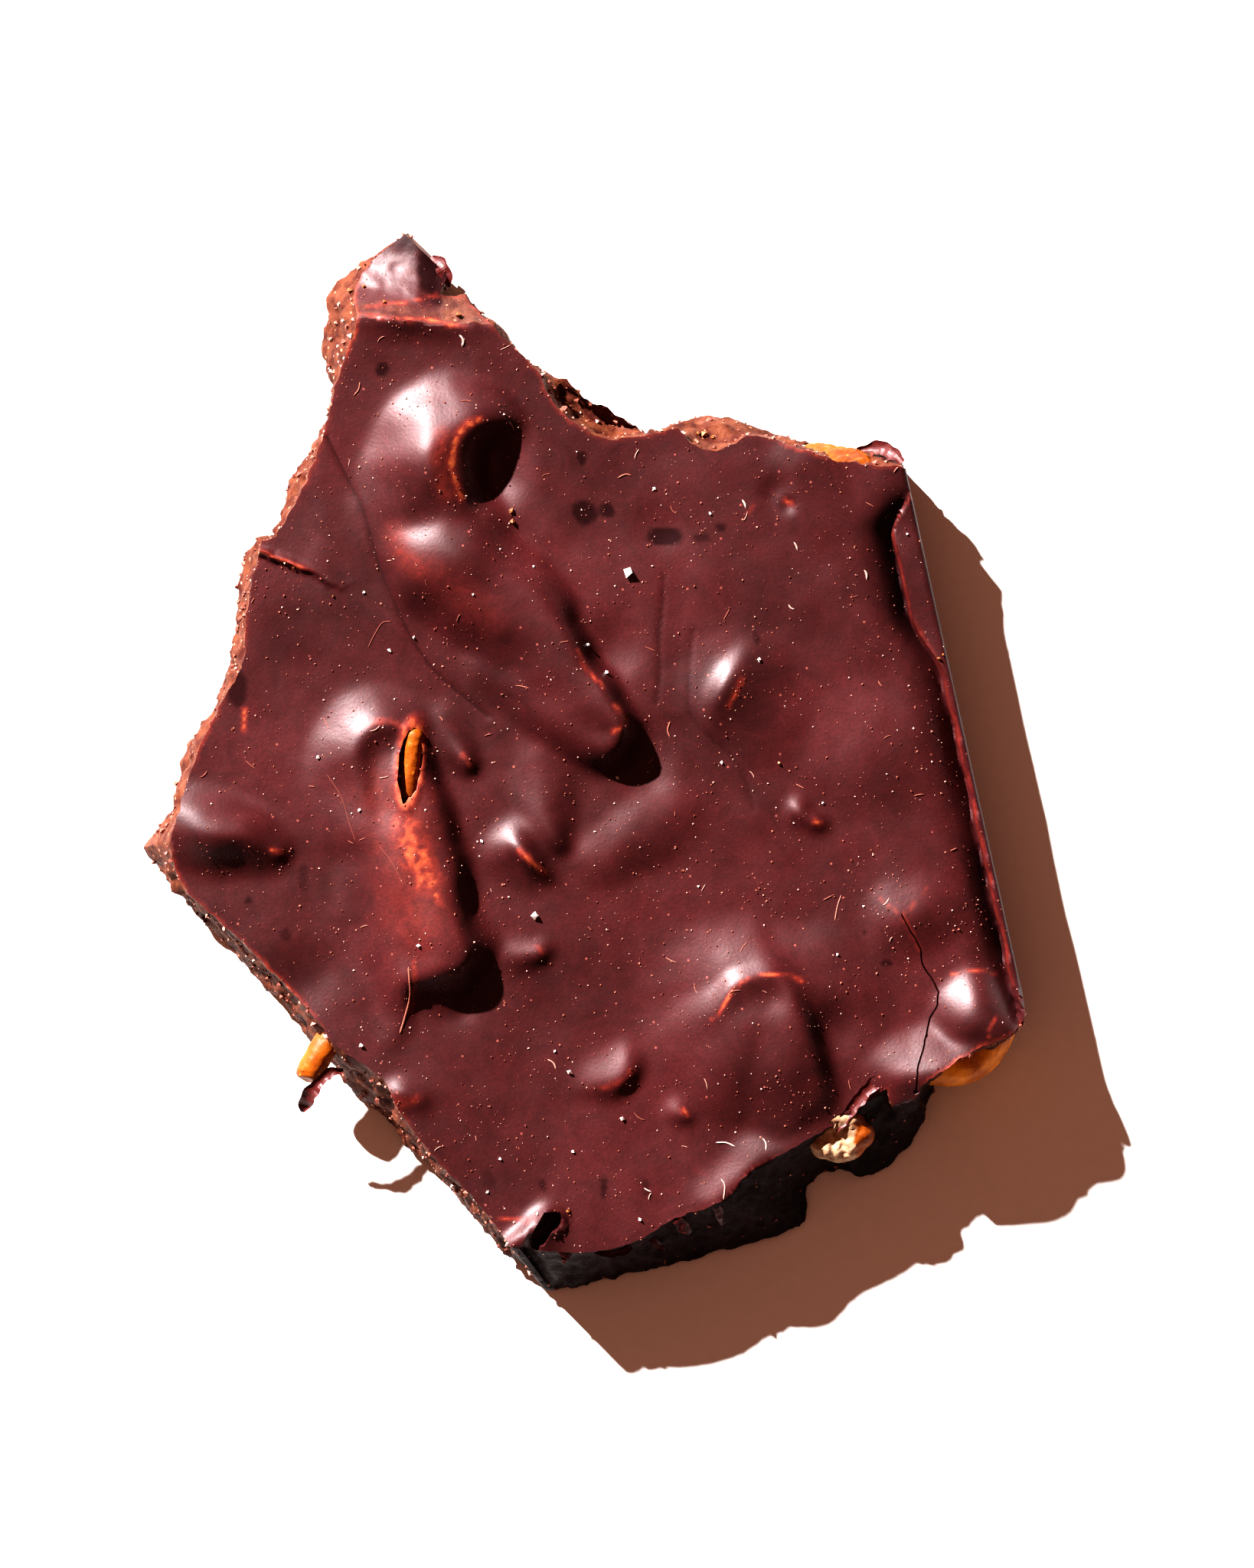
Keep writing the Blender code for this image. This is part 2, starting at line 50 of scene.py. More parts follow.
# Rows of mesh points follow each sharp line, at these distances to its left. The rows keep clear
# of the rim, and the even grid of both, by these shares of a cell.
FRACTURE_ROWS = (-0.3, -0.15, 0.0, 0.15, 0.3)
SEAM_ROWS = (-0.2, 0.0, 0.2)
SEAM_STEP = 0.3
ROW_CLEARANCE = 0.3
GRID_CLEARANCE = 0.6

# Each finer layer of a noise is this much shorter, and its seed is this much further on
LAYER_SHRINK = 0.47
LAYER_SEED = 7.3

# The moulded edge: a narrow lip, a groove inside it and a soft shoulder up to the poured face.
# A pair of places, here and below, says where something sets in softly or runs out.
LIP_DROP = 0.6
LIP_DROP_ENDS = (17.5, 22.0)
LIP_WIDE = 2.1
LIP_NARROW = 0.65
LIP_WIDENS = (6.0, 11.5)
LIP_ENDS = (17.0, 21.0)
LIP_SIDE = (-0.2, 0.15)
LIP_ROUNDING = 0.35
LIP_WOBBLE = 0.24
LIP_WOBBLE_LENGTH = 4.0
LIP_CALM = 0.6
LIP_CALMS = (5.0, 9.0)
GROOVE_DEPTH = 2.1
GROOVE_ENDS = (15.0, 22.5)
GROOVE_CURVE = 2.8
SHOULDER = 3.7
EDGE_STARTS = (-22.0, -18.0)
# Rows of mesh points follow the lip, at these distances from its outer and its inner side
ROUNDING_ROWS = (0.1, 0.25)
ROUNDED_WIDTH = 0.4
LIP_ROWS = (-0.25, -0.1, 0.05, 0.25, 0.5)
# A side that is this smooth and whose edge lies this high is moulded, and a rim this rough broken
MOULDED_ROUGHNESS = 0.05
MOULDED_EDGE_ABOVE = 5.0
BROKEN_ROUGHNESS = 0.1

# The broken tip: a step down from the poured face, then a slope to the point
TIP_STEP_LEFT = (-17.0, 33.5)
TIP_STEP_RIGHT = (-6.5, 32.7)
TIP_STEP = 1.0
TIP_STEP_RUN = 0.6
TIP_SLOPE = 0.41
TIP_TILT = 0.24
TIP_TILT_FROM = -12.4
TIP_TILT_SETS_IN = (0.6, 2.6)
TIP_LEVEL = 0.26
TIP_LEVEL_FROM = 4.2
# The step wavers in waves, each with a share, a rate and a phase.
TIP_WOBBLE = 0.2
TIP_WAVES = ((1.0, 0.9, 2.0), (0.4, 2.9, 0.0), (0.25, 6.1, 0.0))
# Beyond the step the skin is torn in a band, and at the right in a patch.
TORN_FROM = (0.0, 0.2)
TORN_BAND = 0.55
TORN_BAND_ENDS = (1.0, 1.5)
TORN_PATCH_FROM = (-11.2, -10.2)
TORN_RELIEF = 0.22
TORN_RELIEF_LENGTH = 0.9
PLATE_FROM = (1.5, 2.5)
PLATE_RELIEF = 0.09
PLATE_RELIEF_LENGTH = 1.0
TIP_ROWS = (0.0, 0.3, 0.7, 1.0)

# The broken sides: broad crags as in the solid, then finer ones and scalloped chips
CRAG = 0.45
CRAG_LENGTH = 2.6
FINE_CRAG = 0.22
FINE_CRAG_LENGTH = 0.9
SCALLOP = 0.55
SCALLOP_MEAN = 0.35
SCALLOP_LENGTH = 1.7
CRAGS_FROM = (0.0, 0.25)
CRAGS_TO = (1.75, 2.0)
CRAG_SAG = 0.5
RIM_RAGGED = 0.16
RIM_RAGGED_LENGTH = 0.8

# A place on the outline: where the poured face ends (rim), the furthest point of the side below
# it (edge) and its height, how rough the break is, how deep a ditch lies between rim and edge,
# and whether the outline turns sharply there.
Station = namedtuple(
    "Station", "rim edge edge_z rough ditch corner", defaults=(0.8, 1.0, 0.0, False)
)

# The outline runs clockwise, seen from above.
TIP = [
    Station((-17.7, 30.9), (-19.6, 30.5)),
    Station((-16.9, 33.2), (-19.4, 33.6)),
    Station((-17.2, 35.9), (-18.8, 36.0), 1.2),
    Station((-16.1, 37.7), (-16.5, 38.0), 2.0),
    Station((-13.4, 40.0), (-13.2, 40.2), 2.2, rough=0.0, corner=True),
    Station((-10.1, 36.8), (-9.9, 36.9), 2.0, rough=0.4, corner=True),
    Station((-10.7, 35.4), (-10.5, 35.4), 2.0, rough=0.4),
    Station((-8.8, 35.3), (-8.7, 35.4), 2.0, corner=True),
    Station((-6.6, 32.7), (-6.5, 32.8), 2.0),
]
HOLLOW_BREAK = [
    Station((-3.2, 29.4), (-2.9, 29.5), 3.0, corner=True),
    Station((-2.4, 27.6), (-0.8, 28.5), 4.2, ditch=2.0),
    Station((-0.7, 25.7), (1.0, 27.3), 4.2, ditch=2.5),
    Station((1.8, 24.4), (3.0, 26.0), 4.2, ditch=2.5),
    Station((4.8, 24.6), (5.1, 24.9), 3.0, corner=True),
]
UPPER_BREAK = [
    Station((7.3, 25.2), (7.6, 25.7), 2.0, corner=True),
    Station((8.3, 24.0), (8.8, 26.4), 1.5),
    Station((10.5, 23.6), (10.3, 26.5), 1.5),
    Station((12.4, 24.5), (12.2, 25.6), 1.5),
    Station((16.9, 23.5), (16.9, 24.4), 1.5, corner=True),
    Station((19.3, 22.7), (19.3, 23.0), 1.5),
    Station((21.0, 22.5), (21.1, 23.5), 1.5),
    Station((22.6, 22.3), (22.7, 24.0), 1.5),
    Station((24.1, 22.3), (24.2, 22.9), 2.5, rough=0.3, corner=True),
]
MOULDED_EDGE = [
    Station((24.5, 22.0), (24.5, 22.0), 5.4, rough=0.0, corner=True),
    Station((33.3, -17.5), (33.3, -17.5), 5.4, rough=0.0, corner=True),
]
PRETZEL_CORNER = [
    Station((33.35, -19.2), (33.4, -19.2), 4.6, rough=0.0),
    Station((32.5, -20.4), (32.8, -20.7), 3.0, rough=0.3),
    Station((30.4, -21.3), (30.9, -22.0), 1.5),
    Station((27.4, -23.1), (27.4, -23.6)),
    Station((25.4, -24.7), (26.5, -25.0)),
]
FRONT_BREAK = [
    Station((25.1, -25.5), (26.0, -27.2), corner=True),
    Station((23.4, -26.0), (24.9, -29.0), corner=True),
    Station((23.0, -24.6), (23.4, -31.0), corner=True),
    Station((20.4, -26.4), (21.4, -31.7)),
    Station((17.8, -28.0), (19.4, -31.1)),
    Station((15.0, -29.6), (17.3, -32.5)),
    Station((12.7, -30.9), (16.9, -34.9)),
    Station((11.1, -32.8), (13.4, -36.5)),
    Station((7.3, -34.3), (8.4, -37.7)),
    Station((4.2, -36.1), (5.2, -38.7)),
    Station((-1.0, -37.0), (-0.2, -39.8)),
    Station((-5.3, -36.5), (-2.7, -40.2), rough=0.0, corner=True),
]
LOWER_LEFT_BREAK = [
    Station((-7.3, -33.9), (-5.0, -37.9)),
    Station((-11.0, -29.9), (-9.2, -33.4)),
    Station((-13.5, -26.7), (-12.0, -30.3)),
    Station((-15.0, -23.9), (-14.2, -27.8)),
    Station((-18.0, -21.8), (-18.0, -24.3)),
    Station((-21.2, -18.0), (-22.3, -19.0)),
    Station((-24.9, -14.2), (-26.6, -14.4)),
    Station((-30.7, -7.9), (-31.9, -8.6)),
    Station((-31.0, -6.0), (-33.4, -6.5), rough=0.0, corner=True),
]
LEFT_BREAK = [
    Station((-30.4, -3.9), (-31.4, -3.7)),
    Station((-28.8, 1.2), (-30.0, 1.2)),
    Station((-27.1, 4.6), (-27.6, 4.6)),
    Station((-25.6, 7.4), (-26.8, 7.8)),
    Station((-25.3, 11.2), (-26.4, 11.4)),
    Station((-24.4, 15.5), (-25.4, 15.8)),
    Station((-24.1, 16.7), (-24.5, 17.1), corner=True),
    Station((-23.0, 17.0), (-23.2, 17.1), corner=True),
    Station((-20.8, 21.1), (-22.2, 21.1)),
    Station((-19.2, 25.6), (-19.4, 25.6)),
    Station((-18.6, 28.2), (-18.7, 28.3), corner=True),
]
OUTLINE = (
    TIP
    + HOLLOW_BREAK
    + UPPER_BREAK
    + MOULDED_EDGE
    + PRETZEL_CORNER
    + FRONT_BREAK
    + LOWER_LEFT_BREAK
    + LEFT_BREAK
)

# A ridge over a covered pretzel piece: how round its top is (1 sharp, 2 round, 3 nearly flat) and
# the places of its crest, each with x, y, the crest's height there and how far its sides reach on
# the left and on the right of somebody who walks along it.
Ridge = namedtuple("Ridge", "roundness crests")
Crest = namedtuple("Crest", "x y height left right")

RIDGES = {
    "upper knob": Ridge(2.0, [
        (-5.6, 25.0, 0.5, 0.9, 1.6), (-6.5, 25.2, 1.3, 1.2, 2.6), (-7.4, 25.1, 1.8, 1.5, 3.6),
        (-8.4, 24.6, 2.2, 1.8, 4.8), (-9.0, 23.5, 2.4, 1.9, 6.6), (-9.1, 22.3, 2.4, 1.9, 7.4),
        (-8.9, 21.0, 2.2, 1.8, 6.6), (-8.6, 19.8, 1.5, 1.4, 5.0),
    ]),
    "upper knob's flank": Ridge(1.5, [
        (-12.6, 18.8, 1.0, 5.2, 4.2), (-11.9, 20.4, 1.7, 5.6, 4.0), (-11.3, 22.0, 2.1, 5.6, 3.4),
        (-11.0, 23.4, 1.8, 5.0, 3.0), (-10.4, 24.4, 0.9, 4.0, 3.0),
    ]),
    "long strand": Ridge(2.8, [
        (-10.4, 15.0, 1.7, 4.6, 4.8), (-7.2, 13.4, 2.2, 4.4, 5.2), (-3.8, 11.6, 2.3, 3.4, 5.6),
        (-1.4, 9.9, 2.3, 1.3, 5.8), (-0.1, 7.9, 2.3, 0.9, 5.6), (1.1, 6.2, 2.3, 0.9, 4.8),
        (2.3, 4.7, 2.4, 0.9, 3.4), (3.1, 3.3, 2.5, 0.9, 2.0),
    ]),
    "long strand's head": Ridge(1.9, [
        (-13.0, 16.7, 0.8, 3.0, 2.4), (-11.8, 15.7, 1.5, 4.8, 3.6), (-10.4, 15.2, 2.0, 5.4, 4.4),
        (-9.3, 15.5, 2.2, 5.2, 4.4), (-8.5, 16.5, 1.9, 4.4, 3.6),
    ]),
    "long strand's lower side": Ridge(2.0, [
        (-6.2, 7.4, 0.7, 4.4, 2.9), (-3.4, 4.8, 1.2, 4.4, 2.7), (-0.6, 2.6, 1.7, 3.8, 2.5),
        (1.9, 1.2, 2.0, 3.0, 2.3), (3.2, 1.8, 2.3, 2.0, 1.3),
    ]),
    "left strand head": Ridge(1.1, [
        (-12.8, 2.5, 1.2, 2.0, 2.6), (-14.4, 2.8, 1.5, 3.2, 3.2), (-16.0, 2.4, 1.6, 3.8, 3.5),
        (-17.0, 1.0, 1.6, 4.2, 3.8), (-16.9, -1.2, 1.4, 4.2, 4.2), (-16.1, -4.4, 1.2, 4.6, 4.4),
    ]),
    "left strand": Ridge(1.5, [
        (-12.0, 1.2, 1.4, 1.0, 4.0), (-11.3, -2.0, 1.4, 1.1, 5.0), (-10.6, -5.0, 1.5, 1.3, 6.0),
        (-9.8, -8.0, 1.6, 1.5, 6.8), (-9.2, -11.0, 2.0, 1.5, 7.0), (-8.8, -13.4, 2.3, 1.1, 6.6),
        (-8.6, -14.9, 2.3, 0.8, 5.0), (-9.5, -15.9, 2.2, 0.8, 5.0), (-10.9, -16.2, 1.9, 0.8, 5.0),
        (-12.4, -16.6, 1.5, 0.8, 3.6),
    ]),
    "left strand's other side": Ridge(1.8, [
        (-15.0, -6.0, 1.4, 4.6, 4.4), (-14.2, -10.0, 1.4, 4.4, 4.0), (-13.4, -13.5, 1.4, 3.4, 3.6),
        (-12.8, -16.3, 1.4, 0.9, 3.0), (-13.1, -18.4, 0.6, 0.6, 2.6), (-13.7, -20.4, 0.2, 0.5, 2.0),
    ]),
    "left strand's back": Ridge(2.0, [
        (-14.5, 0.8, 1.0, 2.4, 2.4), (-13.6, -1.6, 1.4, 3.0, 3.4), (-12.9, -4.2, 1.6, 3.2, 4.0),
        (-12.3, -8.0, 1.8, 3.6, 4.4), (-11.4, -12.0, 1.9, 3.6, 4.0), (-10.6, -14.8, 2.0, 3.0, 2.6),
    ]),
    "left end strand": Ridge(1.6, [
        (-31.0, -4.4, 0.9, 3.2, 3.4), (-29.2, -4.9, 1.7, 3.4, 3.6), (-27.2, -5.4, 2.0, 3.4, 3.6),
        (-25.2, -6.0, 1.6, 3.0, 3.0), (-23.6, -6.5, 1.0, 2.2, 2.2), (-22.6, -6.8, 1.0, 1.0, 1.0),
    ]),
    "middle peak": Ridge(1.0, [
        (-5.0, -6.5, 1.2, 2.2, 2.2), (-4.0, -7.4, 1.9, 1.4, 1.4), (-3.3, -8.1, 1.5, 0.9, 0.9),
        (-2.5, -8.7, 0.8, 0.7, 0.7),
    ]),
    "middle peak's foot": Ridge(1.4, [
        (-4.8, -6.6, 0.9, 3.0, 3.0), (-4.2, -7.4, 0.8, 2.6, 2.6),
    ]),
    "mound beside the peak": Ridge(1.7, [
        (-2.9, -0.6, 0.4, 2.8, 3.0), (-2.7, -3.4, 0.7, 2.6, 2.8), (-2.2, -5.3, 0.9, 1.6, 1.6),
        (-1.4, -6.1, 0.7, 0.8, 0.8),
    ]),
    "small ridge": Ridge(1.4, [
        (-10.6, 2.9, 0.5, 2.2, 2.2), (-9.4, 1.1, 0.8, 1.6, 1.8), (-8.4, -0.2, 1.2, 0.9, 1.0),
    ]),
    "right knob": Ridge(1.0, [
        (12.3, 7.2, 0.8, 3.4, 1.9), (11.3, 6.8, 1.2, 4.8, 1.9), (10.9, 5.8, 1.4, 5.4, 2.0),
        (10.4, 4.6, 1.2, 4.6, 1.9), (9.8, 3.7, 0.7, 2.6, 1.7),
    ]),
    "right knob's foot": Ridge(1.5, [
        (12.0, 5.6, 0.7, 4.8, 5.4), (13.6, 3.2, 0.5, 4.6, 4.8),
    ]),
    "right speck": Ridge(1.15, [
        (16.4, -3.7, 0.9, 1.4, 1.3), (17.3, -4.3, 0.8, 1.1, 1.1), (17.9, -4.6, 1.0, 0.8, 0.8),
    ]),
    "middle oblong": Ridge(1.8, [
        (1.6, -7.3, 0.5, 2.8, 2.6), (4.2, -5.7, 0.6, 3.2, 3.0), (6.8, -4.3, 0.4, 3.2, 3.0),
    ]),
    "lower mound": Ridge(1.15, [
        (9.1, -20.4, 0.9, 2.2, 4.0), (10.1, -18.6, 1.7, 2.5, 8.0), (11.2, -17.0, 2.0, 2.5, 11.0),
        (12.7, -16.1, 2.0, 2.3, 12.0), (14.6, -15.9, 2.0, 1.9, 11.0), (16.0, -16.9, 2.1, 1.8, 9.5),
        (16.8, -19.2, 2.2, 1.8, 8.0), (17.4, -21.8, 2.1, 1.8, 7.0), (18.0, -24.2, 1.4, 2.0, 5.0),
    ]),
    "lower mound's top": Ridge(2.4, [
        (11.0, -23.6, 0.8, 3.6, 4.4), (11.8, -21.8, 1.4, 3.6, 5.0), (12.8, -20.4, 1.7, 3.4, 5.4),
        (14.2, -20.0, 1.8, 3.0, 5.6), (15.2, -21.0, 1.9, 2.8, 5.6), (15.6, -22.8, 1.8, 2.6, 5.4),
        (16.2, -24.8, 1.2, 2.6, 4.8),
    ]),
    "front knob": Ridge(1.15, [
        (1.0, -24.8, 0.4, 2.8, 1.0), (2.3, -24.4, 0.8, 3.4, 1.0), (3.4, -23.9, 1.0, 3.2, 1.0),
        (3.8, -22.9, 0.8, 2.6, 1.0),
    ]),
    "front speck": Ridge(1.15, [
        (7.3, -26.1, 0.6, 1.6, 1.4), (7.9, -26.5, 0.8, 0.9, 0.9),
    ]),
    "middle tip": Ridge(1.2, [
        (-4.8, -14.8, 0.5, 1.9, 1.6), (-3.1, -14.5, 0.9, 1.5, 1.0),
    ]),
    "corner ball": Ridge(1.9, [
        (30.0, -19.3, 1.8, 4.2, 3.6), (31.4, -19.8, 1.8, 4.0, 3.4),
    ]),
    "corner foot": Ridge(1.5, [
        (24.4, -23.9, 1.2, 4.0, 2.5), (26.8, -23.5, 1.8, 4.0, 2.5), (29.0, -22.7, 1.7, 3.0, 2.5),
        (30.2, -21.9, 1.1, 1.6, 2.0),
    ]),
    "cracked mound": Ridge(1.6, [
        (24.4, -11.9, 0.8, 3.4, 3.4), (25.5, -11.4, 0.8, 3.4, 3.4),
    ]),
    "right swell": Ridge(1.9, [
        (21.4, 0.8, 0.55, 5.6, 5.6), (23.0, 1.6, 0.45, 5.6, 5.6),
    ]),
    "raised flap": Ridge(1.0, [
        (-5.4, -36.2, 1.0, 0.6, 2.8), (-4.0, -35.3, 1.3, 0.6, 2.8), (-3.4, -34.3, 1.0, 0.8, 2.4),
    ]),
    "lower left knob": Ridge(1.3, [
        (-13.6, -25.0, 0.8, 1.8, 1.8), (-12.4, -25.6, 0.6, 1.4, 1.4),
    ]),
    "upper right swell": Ridge(1.8, [
        (16.6, 22.3, 0.5, 3.4, 3.0), (17.2, 19.0, 0.4, 3.8, 2.6),
    ]),
    "front rim": Ridge(1.4, [
        (10.4, -33.2, 0.6, 2.6, 1.4), (12.6, -31.0, 0.75, 2.8, 1.4), (14.9, -29.8, 0.75, 2.8, 1.4),
        (17.0, -28.7, 0.6, 2.6, 1.4), (18.6, -27.9, 0.2, 2.0, 1.4),
    ]),
    "tip step": Ridge(1.2, [
        (-17.2, 33.7, 0.1, 0.6, 1.4), (-14.4, 33.5, 0.7, 0.6, 2.0), (-11.6, 33.3, 0.6, 0.6, 1.9),
        (-9.4, 33.0, 0.3, 0.6, 1.6), (-7.6, 32.7, 0.0, 0.6, 1.4),
    ]),
}
RIDGE_BLEND = 3.0
RIDGE_FOOT = 1.5
RIDGE_TURN = 0.6

# Hollows of the pour: place, depth and radius
HOLLOWS = [
    ((-7.0, 22.3), 1.1, 4.2),
    ((-9.4, -17.9), 0.5, 2.6),
    ((-20.9, -16.6), 0.45, 3.4),
    ((2.2, 8.8), 0.4, 3.4),
    ((4.8, 0.6), 0.5, 3.4),
    ((18.8, -20.4), 0.5, 3.4),
    ((17.2, -3.6), 0.3, 0.6),
    ((14.7, 20.5), 0.3, 1.8),
    ((5.9, 17.5), 0.2, 2.4),
    ((15.9, 19.1), 1.2, 0.5),
]

# The coat follows these shapes only roughly, and rounds them off
WARP = 0.45
WARP_LENGTH = 3.0
WARP_SEEDS = (31.0, 47.0)
SOFTNESS = 0.36
CREST_STEP = 0.8
RELIEF_STEP = 0.3
RELIEF_LOW = (-36.0, -42.5)
RELIEF_COUNTS = (235, 280)

# The face sinks towards the left break
LEFT_SINK = 0.8
LEFT_SINK_ENDS = (-32.0, -10.0)

# The pour set in a long wave that runs along x and y and in a short slanting one
LONG_WAVE = 0.14
LONG_WAVE_LENGTHS = (6.1, 7.9)
LONG_WAVE_PHASES = (0.6, -0.4)
SHORT_WAVE = 0.06
SHORT_WAVE_LENGTH = 5.2
SHORT_WAVE_SLANT = 1.7

# Slow unevenness and fine ripples, each with a height, a length and a seed
UNEVENNESS = ((0.16, 7.5, 41.0), (0.07, 3.8, 47.0))
RIPPLES = ((0.035, 3.1, 2.0), (0.012, 1.1, 5.0))

# Lines that the pour left where one flow met another: their depth, how dark they are, their path
FlowLine = namedtuple("FlowLine", "depth shade path")

FLOW_LINES = [
    FlowLine(0.10, 0.6, [
        (-19.2, 24.5), (-17.8, 21.7), (-16.4, 18.8), (-15.6, 16.0), (-14.3, 12.4), (-11.5, 7.4),
        (-7.0, 3.4),
    ]),
    FlowLine(0.06, 0.5, [(6.2, 14.2), (6.1, 12.0), (5.8, 9.4), (5.9, 7.0), (5.6, 4.4)]),
    FlowLine(0.05, 0.35, [
        (8.4, 10.0), (8.1, 6.6), (8.2, 3.8), (9.0, 2.5), (11.8, -0.2), (13.0, -3.5),
    ]),
]
FLOW_LINE_WIDTH = 0.17
FLOW_SEAM = (0.06, 0.2)
FLOW_STEP = 1.0

# Darker marks in the coat, and patches of painted shade: a place, how far it reaches along x
# and y, and how dark it is
MARKS_AND_SHADE = [
    ((-15.0, 29.7), (0.6, 0.6), 0.95),
    ((0.0, 22.9), (0.4, 0.6), 0.95),
    ((0.2, 18.8), (1.0, 1.0), 0.95),
    ((2.0, 19.0), (0.6, 0.6), 0.95),
    ((6.3, 17.0), (1.5, 0.8), 0.95),
    ((9.1, 16.9), (0.7, 0.4), 0.6),
    ((10.5, 17.7), (0.4, 0.4), 0.8),
    ((13.2, 9.3), (0.3, 0.5), 0.7),
    ((-25.1, -10.5), (0.4, 0.3), 0.8),
    ((-21.0, -8.7), (0.4, 1.2), 0.5),
    ((-22.3, -13.0), (0.5, 0.5), 0.6),
    ((23.0, -15.2), (0.5, 0.3), 0.9),
    ((21.4, -12.8), (0.25, 0.2), 0.8),
    ((1.7, -32.1), (0.3, 0.8), 0.8),
    ((-2.9, -31.9), (0.3, 0.5), 0.7),
    ((4.9, -32.1), (0.25, 0.6), 0.6),
    ((-7.0, -31.5), (0.5, 0.8), 0.4),
    # Painted shade from here on: where the face turns away from the light, a band inside the left
    # rim, the shadow below the tip's step, and the tip's point
    ((-22.4, 9.4), (3.4, 4.6), 0.45),
    ((-26.0, 5.6), (0.8, 1.6), 0.8),
    ((-20.6, -16.4), (2.0, 1.8), 0.45),
    ((-13.4, 32.9), (3.4, 0.9), 0.6),
    ((-12.9, 39.6), (2.4, 1.9), 1.0),
    ((-11.0, 37.0), (1.5, 2.4), 1.0),
    ((-12.6, 12.6), (2.4, 3.0), 0.3),
    ((7.4, 2.0), (2.6, 5.0), 0.2),
    ((-7.6, 8.2), (1.6, 4.0), 0.3),
]
MARK_WANDER = 0.22
MARK_WANDER_LENGTH = 0.9
MARK_END = 1.1
SMALL_MARK = 1.6
SMALL_MARK_CORE = 0.75
# Painted shade in the groove inside the lip: a dark band along two stretches, how dark each is,
# and where each sets in and runs out
GROOVE_SHADE_STRETCHES = [(0.8, (7.0, 11.0), (19.5, 21.0)), (0.7, (-15.5, -13.0), (-8.0, -5.0))]
GROOVE_SHADE_FROM = (-0.1, 0.15)
GROOVE_SHADE_TO = (0.8, 2.0)

# Orange where the coat is thin over pretzel, with painted glow and painted highlights on lit
# crest edges: a path, its reach and its share
THIN_COAT_AND_GLOW_PLACES = [
    (
        [(-7.6, 25.7), (-8.6, 25.3), (-9.4, 24.1), (-9.7, 22.4), (-9.4, 20.9), (-9.0, 19.9)],
        0.5,
        0.95,
    ),
    ([(-10.4, 24.4), (-10.6, 22.6), (-10.2, 20.4)], 1.3, 0.3),
    ([(-13.9, 17.3), (-13.3, 15.8), (-12.0, 14.6)], 1.6, 0.26),
    ([(-12.9, 15.6), (-10.0, 13.4), (-7.0, 11.0)], 2.4, 0.1),
    ([(-0.3, 8.4), (0.4, 7.0), (1.2, 6.1), (1.7, 5.7)], 0.22, 0.8),
    ([(2.5, 4.3), (3.2, 3.5), (3.4, 2.8), (2.4, 2.3)], 0.3, 0.8),
    ([(-17.0, 2.4), (-16.0, 2.9), (-14.5, 3.1), (-13.4, 2.6)], 0.35, 0.55),
    ([(-13.2, -5.0), (-12.4, -6.8), (-11.6, -8.8)], 2.2, 0.74),
    ([(-14.0, -3.0), (-13.2, -5.6), (-12.8, -9.0), (-12.2, -11.6)], 4.4, 0.24),
    ([(-11.6, -8.8), (-10.6, -10.6)], 0.6, 0.8),
    ([(-12.6, -15.0), (-12.5, -16.6), (-12.9, -18.9)], 0.3, 0.5),
    ([(-23.4, -6.6), (-22.5, -6.9)], 0.35, 0.9),
    ([(-25.4, 4.0), (-25.5, 2.4)], 0.3, 0.7),
    ([(-8.9, 0.5), (-8.3, -0.3)], 0.3, 0.8),
    ([(-4.7, -6.6), (-3.9, -7.4), (-2.9, -8.3)], 0.35, 0.9),
    ([(-3.4, -13.9), (-2.9, -14.3)], 0.25, 0.6),
    ([(12.1, 6.3), (11.8, 5.5), (11.1, 4.2)], 0.35, 0.6),
    ([(17.6, -4.5), (18.1, -4.7)], 0.3, 0.9),
    (
        [(9.8, -19.5), (10.5, -18.6), (11.3, -17.4), (12.0, -16.6), (13.2, -16.1), (15.6, -15.9)],
        0.15,
        0.95,
    ),
    ([(15.8, -16.1), (16.6, -16.5)], 0.35, 0.6),
    ([(1.6, -24.6), (3.2, -24.0), (3.8, -23.2)], 0.35, 0.6),
    ([(7.6, -26.2), (8.0, -26.6)], 0.3, 0.9),
    ([(28.0, -16.0), (29.8, -15.7), (31.3, -16.0)], 0.14, 0.7),
    ([(30.6, -21.0), (30.7, -20.0), (31.2, -19.2)], 0.14, 0.6),
    ([(26.0, -9.3), (25.4, -10.3), (24.2, -11.6)], 0.15, 0.55),
    ([(24.2, -11.6), (22.5, -10.3)], 0.15, 0.5),
    ([(24.2, -11.6), (24.9, -12.8), (25.5, -14.2)], 0.2, 0.36),
    ([(15.4, 19.7), (15.8, 19.5)], 0.35, 0.8),
    ([(-6.2, -34.4), (-4.9, -34.5), (-3.7, -34.6)], 0.25, 0.6),
    ([(-16.3, 33.8), (-14.3, 33.4), (-11.7, 33.4), (-10.0, 33.0), (-8.7, 32.8)], 0.28, 0.8),
    ([(-16.3, 34.3), (-14.8, 34.6), (-13.5, 34.7), (-11.0, 35.3)], 0.24, 0.6),
    ([(12.9, 19.3), (12.5, 18.7)], 0.2, 0.3),
    ([(-12.4, -25.4), (-13.6, -25.8), (-14.4, -25.2)], 0.6, 0.4),
]
# The painted glow wavers and is broken up; it runs along the chip, and as painted highlights along
# the lit broken rim and the lip
GLOW_WANDER = 0.35
GLOW_WANDER_LENGTH = 1.6
GLOW_MEAN = 0.75
GLOW_BREAKS = 0.65
GLOW_BREAKS_LENGTH = 0.6
GLOW_STEP = 0.5
CHIP_GLOW_REACH = 0.5
RIM_GLOW = 0.7
RIM_GLOW_REACH = (0.03, 0.3)
RIM_GLOW_FROM = (-38.0, -20.0)
RIM_STRETCH = (-0.35, 0.5)
RIM_STRETCH_LENGTH = 5.0
LIP_GLOW = 0.35
LIP_GLOW_REACH = 0.16
LIP_GLOW_INSET = 0.1
LIP_GLOW_FROM = (-17.5, -16.5)
LIP_GLOW_TO = (20.2, 21.0)
